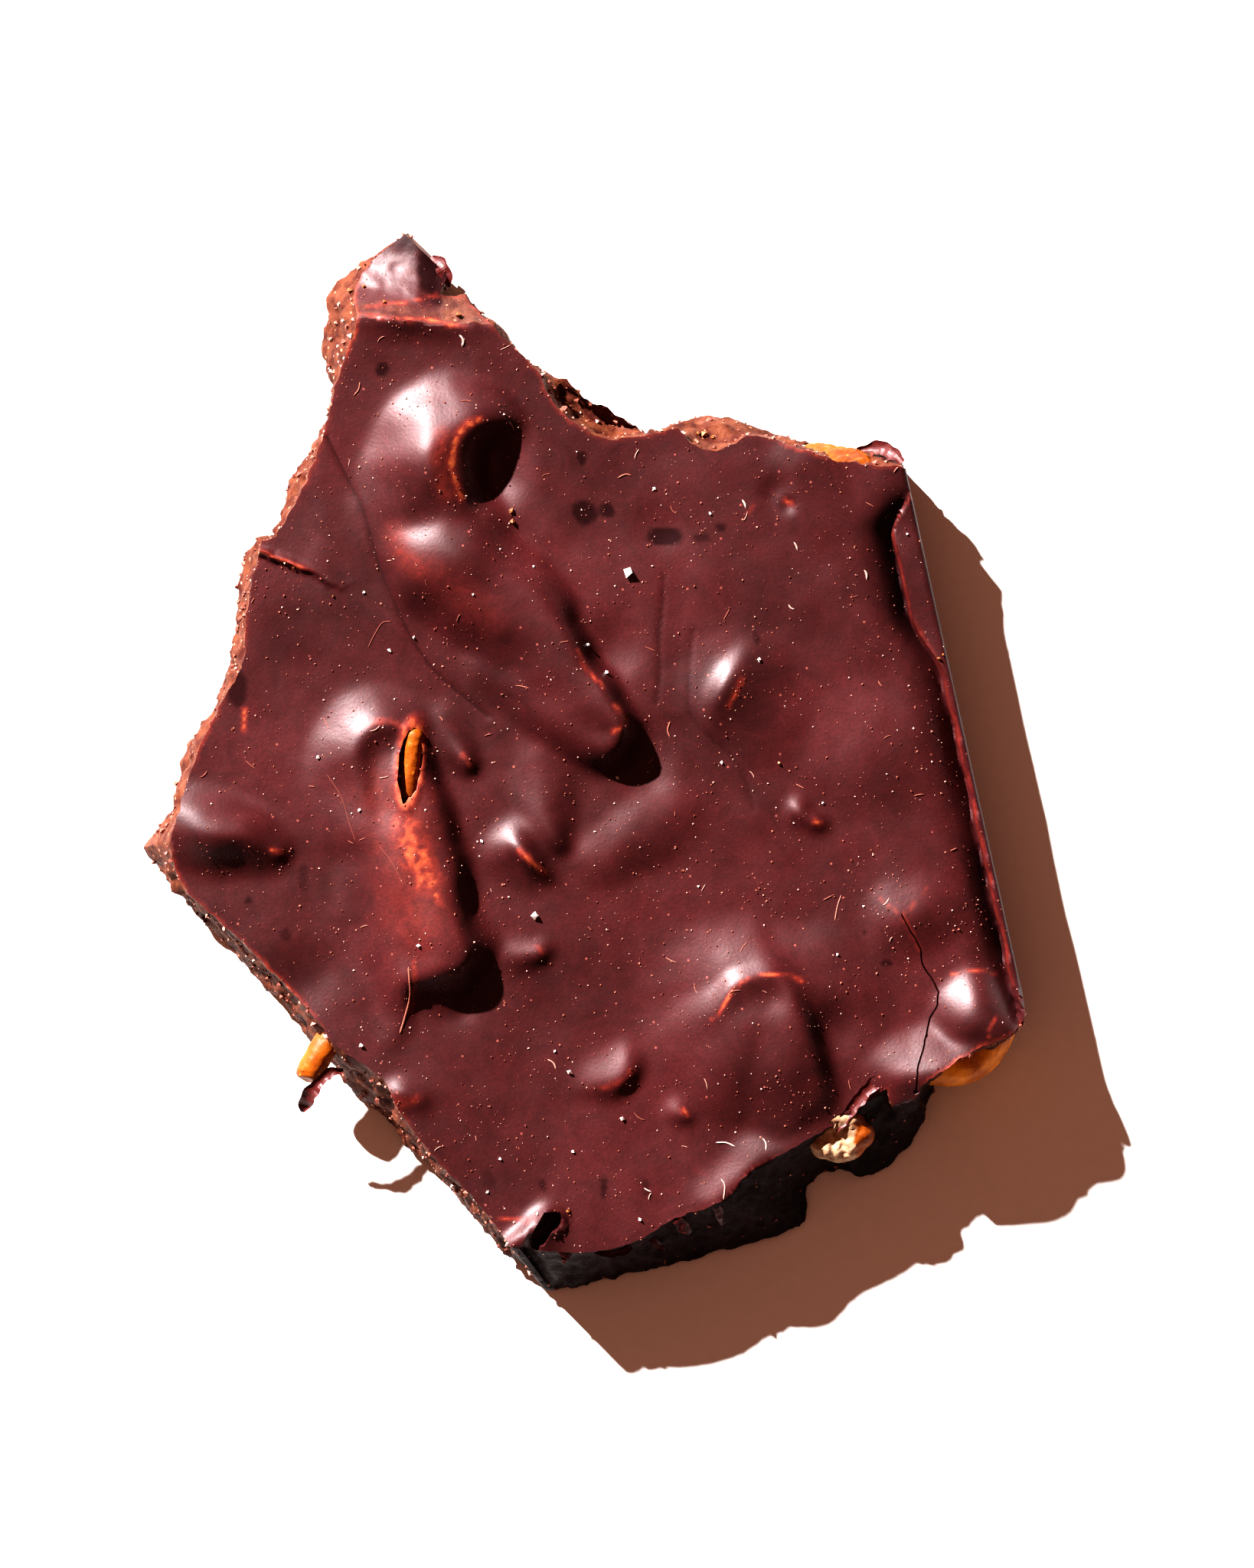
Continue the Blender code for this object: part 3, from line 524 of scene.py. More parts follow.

# Painted shade on the break at the front, which faces away from the key: which way it faces,
# and where it lies
FRONT_FACING = (0.45, -0.89)
FRONT_TURN = (-0.1, 0.45)
FRONT_BELOW = (-25.0, -22.5)
FRONT_RIGHT_OF = (-7.5, -4.5)

# The hole in the skin near the lower corner, and the gap from it to the edge
RIM_HOLE = (-2.2, -34.6)
RIM_HOLE_RADIUS = 0.7
RIM_HOLE_GAP = (-4.1, -36.8)
RIM_HOLE_DEPTH = 1.5
RIM_HOLE_FLOOR = 0.7
RIM_HOLE_GAP_INSET = 0.1
RIM_HOLE_RING = 0.3
RIM_HOLE_RING_WIDTH = 0.2
RIM_HOLE_RING_OPENS = (0.2, 0.6)

# Salt grains on the face: place and radius
SALT = [
    (3.55, 14.3, 0.45), (-3.5, -11.6, 0.32), (-12.6, 9.4, 0.18), (-14.5, 8.4, 0.16),
    (0.45, 8.8, 0.18), (1.85, 6.7, 0.2), (-3.6, 14.7, 0.14), (5.5, 20.6, 0.16),
    (-16.4, 12.8, 0.12), (13.4, 7.7, 0.2), (10.6, -0.05, 0.16), (2.7, -1.2, 0.16),
    (-19.8, 0.35, 0.18), (-12.2, -13.8, 0.18), (-7.5, -6.0, 0.16), (-16.7, -3.6, 0.16),
    (-0.9, -23.4, 0.25), (3.1, -26.9, 0.2), (-16.6, -21.4, 0.24), (-2.0, -21.8, 0.12),
    (18.2, -3.1, 0.14), (19.3, -14.5, 0.14), (-24.8, -15.0, 0.16), (9.7, 18.7, 0.15),
    (-0.64, -29.4, 0.16), (-7.1, -32.4, 0.14), (4.4, -34.5, 0.18), (-6.1, -29.9, 0.14),
    (-3.3, -34.1, 0.16), (-18.0, 33.4, 0.16), (21.3, -10.9, 0.12), (-13.2, 27.4, 0.12),
    (-8.1, 12.6, 0.14), (24.6, 17.2, 0.14), (8.8, -9.4, 0.12),
]

# Crumbs of crust on the face: place and radius
CRUST_CRUMBS = [
    (-5.3, 18.9, 0.27), (-5.2, 18.1, 0.25), (14.9, -0.1, 0.16), (-1.05, -33.9, 0.2),
    (-9.3, 33.7, 0.3), (-17.5, 35.7, 0.22), (-16.5, 36.0, 0.18), (27.0, 7.8, 0.2),
    (27.3, 8.1, 0.14), (-14.9, 34.7, 0.16), (-18.7, 12.5, 0.16), (20.9, -27.4, 0.2),
    (-21.7, 14.7, 0.14), (9.3, 24.7, 0.32), (10.0, 24.5, 0.24), (8.8, 24.9, 0.2),
]

# Slivers of chocolate and fibres of crumb on the face: a path, its thickness and its tone
SLIVERS = [
    ([(10.1, -28.7), (10.9, -28.7), (11.6, -29.0)], 0.06, 0.8),
    ([(13.6, -28.3), (13.9, -28.7), (13.9, -29.3)], 0.05, 0.75),
    ([(10.5, -31.4), (10.8, -31.9), (10.7, -33.0)], 0.045, 0.7),
    ([(4.7, -32.1), (5.0, -32.3), (5.3, -32.4)], 0.06, 0.8),
    ([(19.6, -10.0), (19.3, -10.9), (19.1, -12.0)], 0.04, 0.55),
    ([(12.1, 19.8), (12.3, 19.5), (12.4, 19.1)], 0.07, 0.8),
    ([(16.0, 16.6), (16.2, 16.3), (16.3, 15.9)], 0.06, 0.7),
    ([(15.6, 11.9), (15.8, 11.6), (16.1, 11.5)], 0.06, 0.7),
    ([(21.3, 14.5), (21.5, 14.2), (21.5, 13.7)], 0.07, 0.7),
    ([(-9.2, 32.2), (-8.9, 31.8), (-9.0, 31.3)], 0.08, 0.8),
    ([(23.2, -10.2), (23.0, -10.6), (22.7, -10.8)], 0.045, 0.7),
    ([(-14.3, 10.6), (-15.0, 10.5), (-15.6, 9.6), (-16.1, 8.6)], 0.035, 0.2),
    ([(-15.2, -6.3), (-14.2, -7.6), (-13.3, -9.3)], 0.03, 0.15),
    ([(-19.2, -0.9), (-18.1, -2.6), (-17.5, -4.5), (-17.0, -6.0)], 0.03, 0.15),
    ([(-13.0, -15.4), (-12.9, -17.5), (-13.3, -19.2), (-13.7, -20.5)], 0.06, 0.5),
    ([(-2.6, -22.4), (-2.1, -22.7), (-1.9, -23.2)], 0.06, 0.6),
    ([(6.7, 3.1), (6.5, 2.4), (6.7, 1.8)], 0.05, 0.5),
    ([(2.7, 21.4), (3.3, 21.7), (3.8, 21.6)], 0.05, 0.5),
    ([(-17.2, 27.6), (-16.8, 28.1), (-16.7, 28.7)], 0.05, 0.5),
]

# Flakes of skin that hang on: points along the middle, each with its half width
FLAKES = {
    "torn strip": [
        (22.9, -23.5, 7.4, 0.4), (21.9, -24.4, 7.3, 0.5), (20.9, -25.4, 7.2, 0.45),
        (20.0, -26.6, 7.1, 0.4), (19.2, -27.8, 7.0, 0.2),
    ],
    "lower curl": [
        (-18.0, -23.3, 5.6, 0.2), (-19.0, -23.5, 5.9, 0.35), (-19.9, -24.3, 5.9, 0.42),
        (-20.5, -25.0, 5.6, 0.52), (-20.9, -25.8, 5.0, 0.66), (-21.1, -26.5, 4.4, 0.14),
    ],
    "upper hook": [
        (20.9, 23.6, 3.4, 0.2), (21.7, 23.8, 3.7, 0.35), (22.7, 23.8, 4.2, 0.55),
        (23.6, 23.3, 5.0, 0.5), (24.2, 22.6, 5.6, 0.3),
    ],
    "tip curl": [
        (-11.4, 38.3, 3.4, 0.3), (-10.7, 37.6, 4.0, 0.5), (-10.2, 36.8, 4.2, 0.45),
        (-10.1, 36.0, 3.8, 0.2),
    ],
    "front flake one": [
        (0.8, -36.6, 6.6, 0.3), (2.0, -36.9, 6.4, 0.45), (3.2, -36.9, 6.2, 0.35),
        (3.8, -36.6, 6.1, 0.15),
    ],
    "front flake two": [(5.2, -36.0, 6.0, 0.25), (5.8, -36.6, 5.7, 0.3), (6.3, -36.9, 5.3, 0.1)],
    "front flake three": [
        (7.2, -34.5, 6.9, 0.35), (7.7, -35.1, 6.5, 0.45), (8.2, -35.6, 6.0, 0.2),
    ],
    "front flake four": [
        (10.1, -33.5, 6.9, 0.25), (10.4, -34.2, 6.4, 0.35), (10.6, -35.0, 5.6, 0.12),
    ],
    "hole flake": [(-1.7, -36.2, 6.9, 0.3), (-1.3, -36.9, 6.9, 0.45), (-0.9, -37.4, 6.6, 0.15)],
}
FLAKE_THICKNESS = 0.3
# Painted glow on the hanging flakes
FLAKE_PAINTED_GLOW = 0.12
FLAKE_POINTS_ACROSS = 7
FLAKE_CURL = 0.18
FLAKE_RAGGED = 0.5
FLAKE_RAGGED_RATE = 1.6
FLAKE_LIFT = 0.12
FLAKE_LIFT_RATE = 2.1

# Rays that find the face start at this height
RAY_START = 30.0

# Loose dust, fibres and crumbs. They stay where the face is level enough, by how far its normal
# points up. Small ones are the most common, by the power (skew) that their draw is raised to.
SCATTER_SEED = 7
THREAD_STEP = 0.2
THREAD_SIDES = 5
DUST_TRIES = 14000
DUST_DRIFT_LENGTH = 4.0
DUST_SCATTER = 0.7
DUST_LEVEL = 0.6
DUST_RADIUS = (0.045, 0.115)
DUST_RADIUS_SKEW = 3
DUST_TONE = (0.1, 0.8)
DUST_TONE_SKEW = 2
FIBRES = 55
FIBRE_STEPS = 6
FIBRE_STEP = 0.2
FIBRE_BEND = 1.4
FIBRE_LEVEL = 0.7
FIBRE_RADIUS = (0.025, 0.045)
FIBRE_LENGTH = (0.4, 1.2)
FIBRE_TONE = (0.25, 0.65)
WALL_CRUMBS = 900
WALL_CRUMB_RADIUS = (0.09, 0.30)
WALL_CRUMB_SKEW = 2.5
WALL_CRUMB_TONE = (0.2, 0.8)
WALL_CRUMB_TONE_SKEW = 1.5
WALL_CRUMBS_ABOVE = 0.6
FRONT_CRUMBS_BELOW = (-25.0, -22.0)
FRONT_CRUMBS_RIGHT_OF = (-6.0, -3.0)
FRONT_CRUMB_LOSS = 0.75
CRUST_CRUMB_TONE = 0.25
PEBBLE_ARM = (0.6, 1.25)
# How far the middle of each bit lies off the face, as a share of its radius
DUST_LIFT = 0.2
WALL_CRUMB_LIFT = 0.3
GRAIN_LIFT = 0.5
SLIVER_LIFT = 0.6

# The crack across the corner
CRACK = [
    (24.1, -11.6), (24.9, -12.8), (25.6, -14.2), (25.7, -15.2), (26.3, -16.2), (27.0, -17.3),
    (26.9, -18.2), (26.3, -19.3), (26.0, -20.5), (25.6, -22.0), (25.3, -23.2), (25.2, -24.6),
]
CRACK_HALF_WIDTH = 0.07
CRACK_DEPTH = 0.35

# The fracture at the left, whose upper side stands higher
FRACTURE = [(-24.6, 15.9), (-22.4, 15.1), (-20.2, 14.3), (-18.1, 13.1), (-17.4, 13.5)]
FRACTURE_STEP = 0.25
FRACTURE_STEP_SIDE = (-0.35, 0.0)
FRACTURE_STEP_ENDS = (-20.0, -17.3)
FRACTURE_FADE = 5.0
FRACTURE_BURR = 0.24
FRACTURE_BURR_WIDTH = 0.24
FRACTURE_BURR_OUT = 0.1
FRACTURE_BURR_ENDS = (-21.4, -19.8)
FRACTURE_BURR_LOSS = 0.85
FRACTURE_RAGGED = 0.7
FRACTURE_RAGGED_LENGTH = 0.6
# Painted highlight on the burr's lit edge: how strong, its reach, and how far out it lies
FRACTURE_GLOW = 0.7
FRACTURE_GLOW_REACH = 0.32
FRACTURE_GLOW_OUT = 0.05

# The crack and the fracture are ragged, each along x and along y with its own noise
RAGGED_SEEDS = (0.0, 20.0)
RAGGED_STEP = 0.25
RAGGED_SWING = 0.12
RAGGED_LENGTH = 1.3

# A pretzel piece that shows: the line along its middle, its half thickness, and the plane of
# its broken face as a point and a bearing (None where no broken face shows). Then the seed of
# its bumps, how much pale crumb the broken face shows, how much painted light brightens its
# crust where it lies in shade, and lumps of crumb that stand out of the broken face, each with
# its radius.
Strand = namedtuple(
    "Strand",
    "path radius break_point break_normal seed crumb pale lumps",
    defaults=(0.0, 0.0, ()),
)

CORNER_BEND_CENTRE = (27.6, -19.2)
CORNER_BEND_RADIUS = 3.1
CORNER_BEND_FROM = 0.0
CORNER_BEND_TO = -104.0
CORNER_BEND_STEPS = 6
CORNER_STRAND_HEIGHT = 4.2
CRUST_FROM = 20.5
CRUST_BLEND = 0.3
CRUST_WAVER = 0.4


def corner_bend():
    """Points along the middle of the bent strand at the corner."""
    steps = CORNER_BEND_STEPS
    points = []
    for i in range(steps + 1):
        turn = CORNER_BEND_FROM + (CORNER_BEND_TO - CORNER_BEND_FROM) * i / steps
        bearing = math.radians(turn)
        x = CORNER_BEND_CENTRE[0] + CORNER_BEND_RADIUS * math.cos(bearing)
        y = CORNER_BEND_CENTRE[1] + CORNER_BEND_RADIUS * math.sin(bearing)
        points.append((x, y, CORNER_STRAND_HEIGHT))
    return points


STRANDS = {
    # Painted light: the corner strand lies in shade, and its crust is painted much brighter
    "pretzel_corner": Strand(corner_bend(), 2.3, None, None, 3.0, pale=1.0),
    "pretzel_front": Strand(
        [(18.3, -24.4, 3.6), (18.9, -26.3, 4.4), (19.5, -28.0, 5.5)],
        2.3,
        (19.6, -28.2, 6.9),
        (0.10, -0.36, 0.93),
        11.0,
        crumb=1.0,
        lumps=[
            (17.6, -28.5, 6.0, 0.9), (18.4, -29.0, 5.9, 1.1), (19.4, -29.2, 5.8, 1.15),
            (20.3, -29.0, 5.8, 1.15), (21.0, -28.2, 5.9, 1.15), (20.4, -27.6, 6.1, 1.1),
        ],
    ),
    "pretzel_upper": Strand(
        [(18.0, 22.2, 3.7), (19.2, 21.9, 3.7), (20.2, 21.7, 3.7)],
        2.3,
        (19.2, 22.9, 5.9),
        (0.05, 0.90, 0.43),
        19.0,
    ),
    "pretzel_side": Strand(
        [(-19.0, -20.8, 4.3), (-20.0, -22.4, 4.3), (-20.6, -23.6, 4.2)],
        1.05,
        (-20.9, -24.2, 4.2),
        (-0.35, -0.92, 0.20),
        27.0,
    ),
    "pretzel_ridge": Strand(
        [(-12.8, 1.9, 5.2), (-12.9, -0.2, 5.3), (-13.2, -2.4, 5.2)],
        2.0,
        None,
        None,
        33.0,
        lumps=[(-12.55 - 0.05 * i, 1.9 - 0.38 * i, 7.4 - 0.03 * i, 0.74) for i in range(12)],
    ),
}
STRAND_BUMP = 0.12
STRAND_BUMP_LENGTH = 2.2
STRAND_STEP = 0.4
STRAND_SIDES = 40
CAP_RINGS = 9
STRAND_VOXEL = 0.16
STRAND_WRINKLE = 0.05
STRAND_GRAIN = 0.8
CRUMB_DEPTH = (0.35, 0.65)
CRUMB_WAVER = 0.3
CRUMB_WAVER_LENGTH = 1.2
CRUMB_CRAG = 0.2
CRUMB_SINK = 0.15

# The chip in the lump over pretzel_ridge: an upright slot from the pretzel to the open air
CHIP_CENTRE = (-12.9, -0.2)
CHIP_HALF_LENGTH = 2.8
CHIP_HALF_WIDTH = 0.85
CHIP_BEARING = 84.0
CHIP_FLOOR = 6.2
CHIP_TOP = 11.0
CHIP_CORNERS = 28
CHIP_RAGGED = 0.16
CHIP_RAGGED_RATE = 3.0
CHIP_RIM = 0.14
CHIP_RIM_WIDTH = 0.2
CHIP_RIM_OUT = 0.1

# Camera: straight above this point, at this height, with this length of floor in its long side
VIEW_CENTRE = (3.44, -1.66)
VIEW_HEIGHT = 650.0
VIEW_LENGTH = 119.5
SENSOR = 36.0

# Light: the direction to the key, and its strength; then the warm dim fill from all round
KEY_DIRECTION = (-0.563, 0.658, 0.5)
KEY_ANGLE = 1.5
KEY_STRENGTH = 17.0
ZENITH_COLOUR = (0.340, 0.155, 0.105)
HORIZON_COLOUR = (0.012, 0.005, 0.003)
BACKDROP_COLOUR = (0.92, 0.90, 0.88)
FLOOR_HALF = 3.0


def smoothstep(low, high, value):
    t = np.clip((value - low) / (high - low), 0.0, 1.0)
    return t * t * (3.0 - 2.0 * t)


def past(limits, value):
    """0 before a soft limit and 1 after it."""
    return smoothstep(*limits, value)


def short_of(limits, value):
    """1 before a soft limit and 0 after it."""
    return 1.0 - smoothstep(*limits, value)


def fading(reach, away):
    """1 at a place or on a line and 0 from its reach on."""
    return 1.0 - smoothstep(0.0, 1.0, away / reach)


def ridge_line(away, width):
    """1 on a line, falling off softly over a width on both sides."""
    return np.exp(-((away / width) ** 2))


def flat_points(x, y):
    """Coordinates as rows of three, at height 0."""
    return np.column_stack((x, y, np.zeros(np.shape(x))))


def smooth_noise(points, length, seed=0.0):
    """Noise between about -1 and 1 at each row of points."""
    return np.array([noise.noise(Vector(p)) for p in points / length + seed])


def layered_noise(points, length, layers, seed):
    """Noise with finer layers, each half as strong as the one before and about half as long."""
    total = np.zeros(len(points))
    for k in range(layers):
        total += 0.5**k * smooth_noise(points, length * LAYER_SHRINK**k, seed + LAYER_SEED * k)
    return total


def summed_noise(points, waves):
    """Plain noises added up, each with a height, a length and a seed."""
    return sum(height * smooth_noise(points, length, seed) for height, length, seed in waves)


def scallops(points, length, seed):
    """Bowl shapes with sharp ridges between them, 0 in a bowl's middle to about 1."""
    near = [noise.voronoi(Vector(p))[0][0] for p in points / length + seed]
    return np.minimum(np.array(near), 1.0) ** 2


def distance_from(points, others):
    """Distance from each point to the nearest of the others, seen from above."""
    tree = kdtree.KDTree(len(others))
    for i, other in enumerate(others):
        tree.insert((other[0], other[1], 0.0), i)
    tree.balance()
    return np.array([tree.find((p[0], p[1], 0.0))[2] for p in points])


def from_segment(x, y, start, end):
    """Offset of each point from the nearest point of a segment."""
    run_x = end[0] - start[0]
    run_y = end[1] - start[1]
    along = ((x - start[0]) * run_x + (y - start[1]) * run_y) / (run_x**2 + run_y**2)
    along = np.clip(along, 0.0, 1.0)
    return x - start[0] - along * run_x, y - start[1] - along * run_y


def beside_path(x, y, path):
    """Distance of each point from a path, positive on the path's left."""
    nearest = np.full(np.shape(x), np.inf)
    side = np.ones(np.shape(x))
    for start, end in zip(path, path[1:]):
        off_x, off_y = from_segment(x, y, start, end)
        away = np.hypot(off_x, off_y)
        turn = (end[0] - start[0]) * (y - start[1]) - (end[1] - start[1]) * (x - start[0])
        closer = away < nearest
        nearest = np.where(closer, away, nearest)
        side = np.where(closer, np.sign(turn), side)
    return nearest * side


def smooth_path(path, step):
    """Points a step apart on a smooth curve through a path's points."""
    points = [np.array(p, float) for p in path]
    padded = [2 * points[0] - points[1]] + points + [2 * points[-1] - points[-2]]
    made = []
    for before, start, end, after in zip(padded, padded[1:], padded[2:], padded[3:]):
        count = max(1, round(np.linalg.norm(end - start) / step))
        for k in range(count):
            t = k / count
            made.append(
                0.5
                * (
                    2 * start
                    + (end - before) * t
                    + (2 * before - 5 * start + 4 * end - after) * t**2
                    + (3 * start - before - 3 * end + after) * t**3
                )
            )
    made.append(points[-1])
    return np.array(made)


def ragged_path(path, seed):
    """Points a step apart along a path, shifted to its sides by noise."""
    points = []
    for start, end in zip(path, path[1:]):
        start = np.array(start, float)
        run = np.array(end, float) - start
        count = max(1, round(np.linalg.norm(run) / RAGGED_STEP))
        points += [start + run * k / count for k in range(count)]
    points = np.array(points + [np.array(path[-1], float)])
    places = flat_points(*points.T)
    shifts = [layered_noise(places, RAGGED_LENGTH, 3, seed + more) for more in RAGGED_SEEDS]
    return points + RAGGED_SWING * np.column_stack(shifts)


def ridge_height(ridge, x, y):
    """A ridge with its own width on each side, highest along its crest."""
    height = np.zeros(np.shape(x))
    crests = [Crest(*row) for row in smooth_path(ridge.crests, CREST_STEP)]
    for start, end in zip(crests, crests[1:]):
        run = np.array((end.x - start.x, end.y - start.y))
        length = np.linalg.norm(run)
        along = ((x - start.x) * run[0] + (y - start.y) * run[1]) / length**2
        t = np.clip(along, 0.0, 1.0)
        off_x = x - start.x - t * run[0]
        off_y = y - start.y - t * run[1]
        away = np.hypot(off_x, off_y) + 1e-6
        facing_left = (run[0] * off_y - run[1] * off_x) / (length * away)
        left_share = smoothstep(-RIDGE_TURN, RIDGE_TURN, facing_left)
        left = start.left + (end.left - start.left) * t
        right = start.right + (end.right - start.right) * t
        top = start.height + (end.height - start.height) * t
        reach = np.minimum(away / (right + (left - right) * left_share), 1.0)
        height = np.maximum(height, top * (1.0 - reach**ridge.roundness) ** RIDGE_FOOT)
    return height


def rough_relief(x, y):
    """The ridges and hollows, before the coat has rounded them off."""
    places = flat_points(x, y)
    x = x + WARP * smooth_noise(places, WARP_LENGTH, WARP_SEEDS[0])
    y = y + WARP * smooth_noise(places, WARP_LENGTH, WARP_SEEDS[1])
    total = sum(ridge_height(ridge, x, y) ** RIDGE_BLEND for ridge in RIDGES.values())
    height = total ** (1.0 / RIDGE_BLEND)
    for (centre_x, centre_y), depth, radius in HOLLOWS:
        height -= depth * fading(radius, np.hypot(x - centre_x, y - centre_y))
    return height


def rounded_relief():
    """The relief on an even grid, its corners rounded off."""
    columns = RELIEF_LOW[0] + RELIEF_STEP * np.arange(RELIEF_COUNTS[0])
    rows = RELIEF_LOW[1] + RELIEF_STEP * np.arange(RELIEF_COUNTS[1])
    x, y = np.meshgrid(columns, rows, indexing="ij")
    height = rough_relief(x.ravel(), y.ravel()).reshape(RELIEF_COUNTS)
    reach = math.ceil(3.0 * SOFTNESS / RELIEF_STEP)
    offsets = np.arange(-reach, reach + 1) * RELIEF_STEP
    weights = np.exp(-0.5 * (offsets / SOFTNESS) ** 2)
    weights /= weights.sum()
    for axis in (0, 1):
        height = np.apply_along_axis(np.convolve, axis, height, weights, mode="same")
    return height


RELIEF = rounded_relief()


def relief(x, y):
    """Height of the rounded relief, between its grid points."""
    column = np.clip((x - RELIEF_LOW[0]) / RELIEF_STEP, 0.0, RELIEF_COUNTS[0] - 1.001)
    row = np.clip((y - RELIEF_LOW[1]) / RELIEF_STEP, 0.0, RELIEF_COUNTS[1] - 1.001)
    i = np.floor(column).astype(int)
    j = np.floor(row).astype(int)
    u = column - i
    v = row - j
    near = RELIEF[i, j] * (1.0 - u) + RELIEF[i + 1, j] * u
    far = RELIEF[i, j + 1] * (1.0 - u) + RELIEF[i + 1, j + 1] * u
    return near * (1.0 - v) + far * v


def pouring_waves(x, y):
    """The slow unevenness of chocolate that set as it was poured."""
    turn_x, turn_y = (p / n + k for p, n, k in zip((x, y), LONG_WAVE_LENGTHS, LONG_WAVE_PHASES))
    long_wave = LONG_WAVE * (np.sin(turn_x) * np.cos(turn_y))
    short_wave = SHORT_WAVE * np.sin((x + SHORT_WAVE_SLANT * y) / SHORT_WAVE_LENGTH)
    sink = LEFT_SINK * short_of(LEFT_SINK_ENDS, x)
    return long_wave + short_wave + summed_noise(flat_points(x, y), UNEVENNESS) - sink


def moulded_edge_frame():
    """Start of the moulded edge, its run, its length and the direction into the bar."""
    start = np.array(MOULDED_EDGE[0].rim)
    run = np.array(MOULDED_EDGE[1].rim) - start
    length = np.linalg.norm(run)
    return start, run, length, np.array((run[1], -run[0])) / length


def from_moulded_edge(x, y):
    """Distance from the moulded edge into the bar."""
    start, _, _, inward = moulded_edge_frame()
    return (x - start[0]) * inward[0] + (y - start[1]) * inward[1]


def lip_width(y):
    """The lip is wide in its upper part and runs out before the upper corner."""
    return (LIP_NARROW + (LIP_WIDE - LIP_NARROW) * past(LIP_WIDENS, y)) * short_of(LIP_ENDS, y)


def lip_wobble(y):
    """The inner side of the lip is uneven, most where the lip is narrow."""
    ragged = 1.0 - LIP_CALM * past(LIP_CALMS, y)
    noises = layered_noise(flat_points(0.0 * y, y), LIP_WOBBLE_LENGTH, 4, seed=55.0)
    return LIP_WOBBLE * ragged * noises


def moulded_edge_drop(x, y):
    """How far the face lies below the pour near the moulded edge."""
    from_edge = from_moulded_edge(x, y)
    inside = from_edge - lip_width(y)
    depth = GROOVE_DEPTH * short_of(GROOVE_ENDS, y)
    groove = depth * (1.0 - np.clip(inside / SHOULDER, 0.0, 1.0)) ** GROOVE_CURVE
    lip_drop = LIP_DROP * short_of(LIP_DROP_ENDS, y)
    drop = lip_drop + (groove - lip_drop) * past(LIP_SIDE, inside - lip_wobble(y))
    curve = np.clip(LIP_ROUNDING - from_edge, 0.0, LIP_ROUNDING)
    rounding = LIP_ROUNDING - np.sqrt(LIP_ROUNDING**2 - curve**2)
    return (drop + rounding) * past(EDGE_STARTS, y)


def tip_wobble(x):
    """How far the step at the tip wavers from its straight run."""
    return TIP_WOBBLE * sum(share * np.sin(x * rate + phase) for share, rate, phase in TIP_WAVES)


def tip_beyond(x, y):
    """Distance past the straight run of the step at the tip, measured towards +Y."""
    rise = (TIP_STEP_RIGHT[1] - TIP_STEP_LEFT[1]) / (TIP_STEP_RIGHT[0] - TIP_STEP_LEFT[0])
    return y - TIP_STEP_LEFT[1] - rise * (x - TIP_STEP_LEFT[0])


def tip_drop(x, y):
    """The broken tip: a step below the poured face, then a slope."""
    beyond = tip_beyond(x, y)
    step = TIP_STEP * smoothstep(0.0, TIP_STEP_RUN, beyond - tip_wobble(x))
    tilt = TIP_TILT * np.abs(x - TIP_TILT_FROM) * past(TIP_TILT_SETS_IN, beyond)
    slope = TIP_SLOPE * np.maximum(beyond - TIP_STEP_RUN, 0.0)
    level = TIP_LEVEL * np.maximum(beyond - TIP_LEVEL_FROM, 0.0)
    return step + tilt + slope - level


def broad_face(x, y):
    """Height of the poured face above the moulded face, with its large shapes only."""
    face = BAR_THICKNESS + relief(x, y) + pouring_waves(x, y)
    return face - moulded_edge_drop(x, y) - tip_drop(x, y)


def flow_marks(x, y):
    """Shallow creases along the flow lines."""
    crease = np.zeros(np.shape(x))
    for line in FLOW_LINES:
        away = beside_path(x, y, smooth_path(line.path, FLOW_STEP))
        crease = np.maximum(crease, line.depth * ridge_line(away, FLOW_LINE_WIDTH))
    return crease


def flow_shade(x, y):
    """Painted shade: thin dark lines along the creases of the flow lines."""
    shade = np.zeros(np.shape(x))
    for line in FLOW_LINES:
        away = np.abs(beside_path(x, y, smooth_path(line.path, FLOW_STEP)))
        shade = np.maximum(shade, line.shade * short_of(FLOW_SEAM, away))
    return shade


def marks_and_painted_shade(x, y):
    """How dark the coat is: its marks, and painted shade on flow lines, broad patches and the
    groove.
    """
    noises = layered_noise(flat_points(x, y), MARK_WANDER_LENGTH, 2, seed=21.0)
    wander = 1.0 + MARK_WANDER * noises
    share = flow_shade(x, y)
    for (centre_x, centre_y), (reach_x, reach_y), most in MARKS_AND_SHADE:
        away = np.hypot((x - centre_x) / reach_x, (y - centre_y) / reach_y) * wander
        core = SMALL_MARK_CORE if reach_x < SMALL_MARK else 0.0
        share = np.maximum(share, most * (1.0 - smoothstep(core, MARK_END, away)))
    # Painted shade: a dark band in the groove inside the lip
    inside = from_moulded_edge(x, y) - lip_width(y)
    band = past(GROOVE_SHADE_FROM, inside - lip_wobble(y)) * short_of(GROOVE_SHADE_TO, inside)
    stretches = [most * (past(start, y) * short_of(end, y)) for most, start, end in GROOVE_SHADE_STRETCHES]
    return np.maximum(share, band * np.max(stretches, axis=0))


def chip_edge(x, y):
    """Distance from the chip's edge, counted across the chip."""
    bearing = math.radians(CHIP_BEARING)
    off_x = x - CHIP_CENTRE[0]
    off_y = y - CHIP_CENTRE[1]
    along = off_x * math.cos(bearing) + off_y * math.sin(bearing)
    across = off_y * math.cos(bearing) - off_x * math.sin(bearing)
    return (np.hypot(along / CHIP_HALF_LENGTH, across / CHIP_HALF_WIDTH) - 1.0) * CHIP_HALF_WIDTH


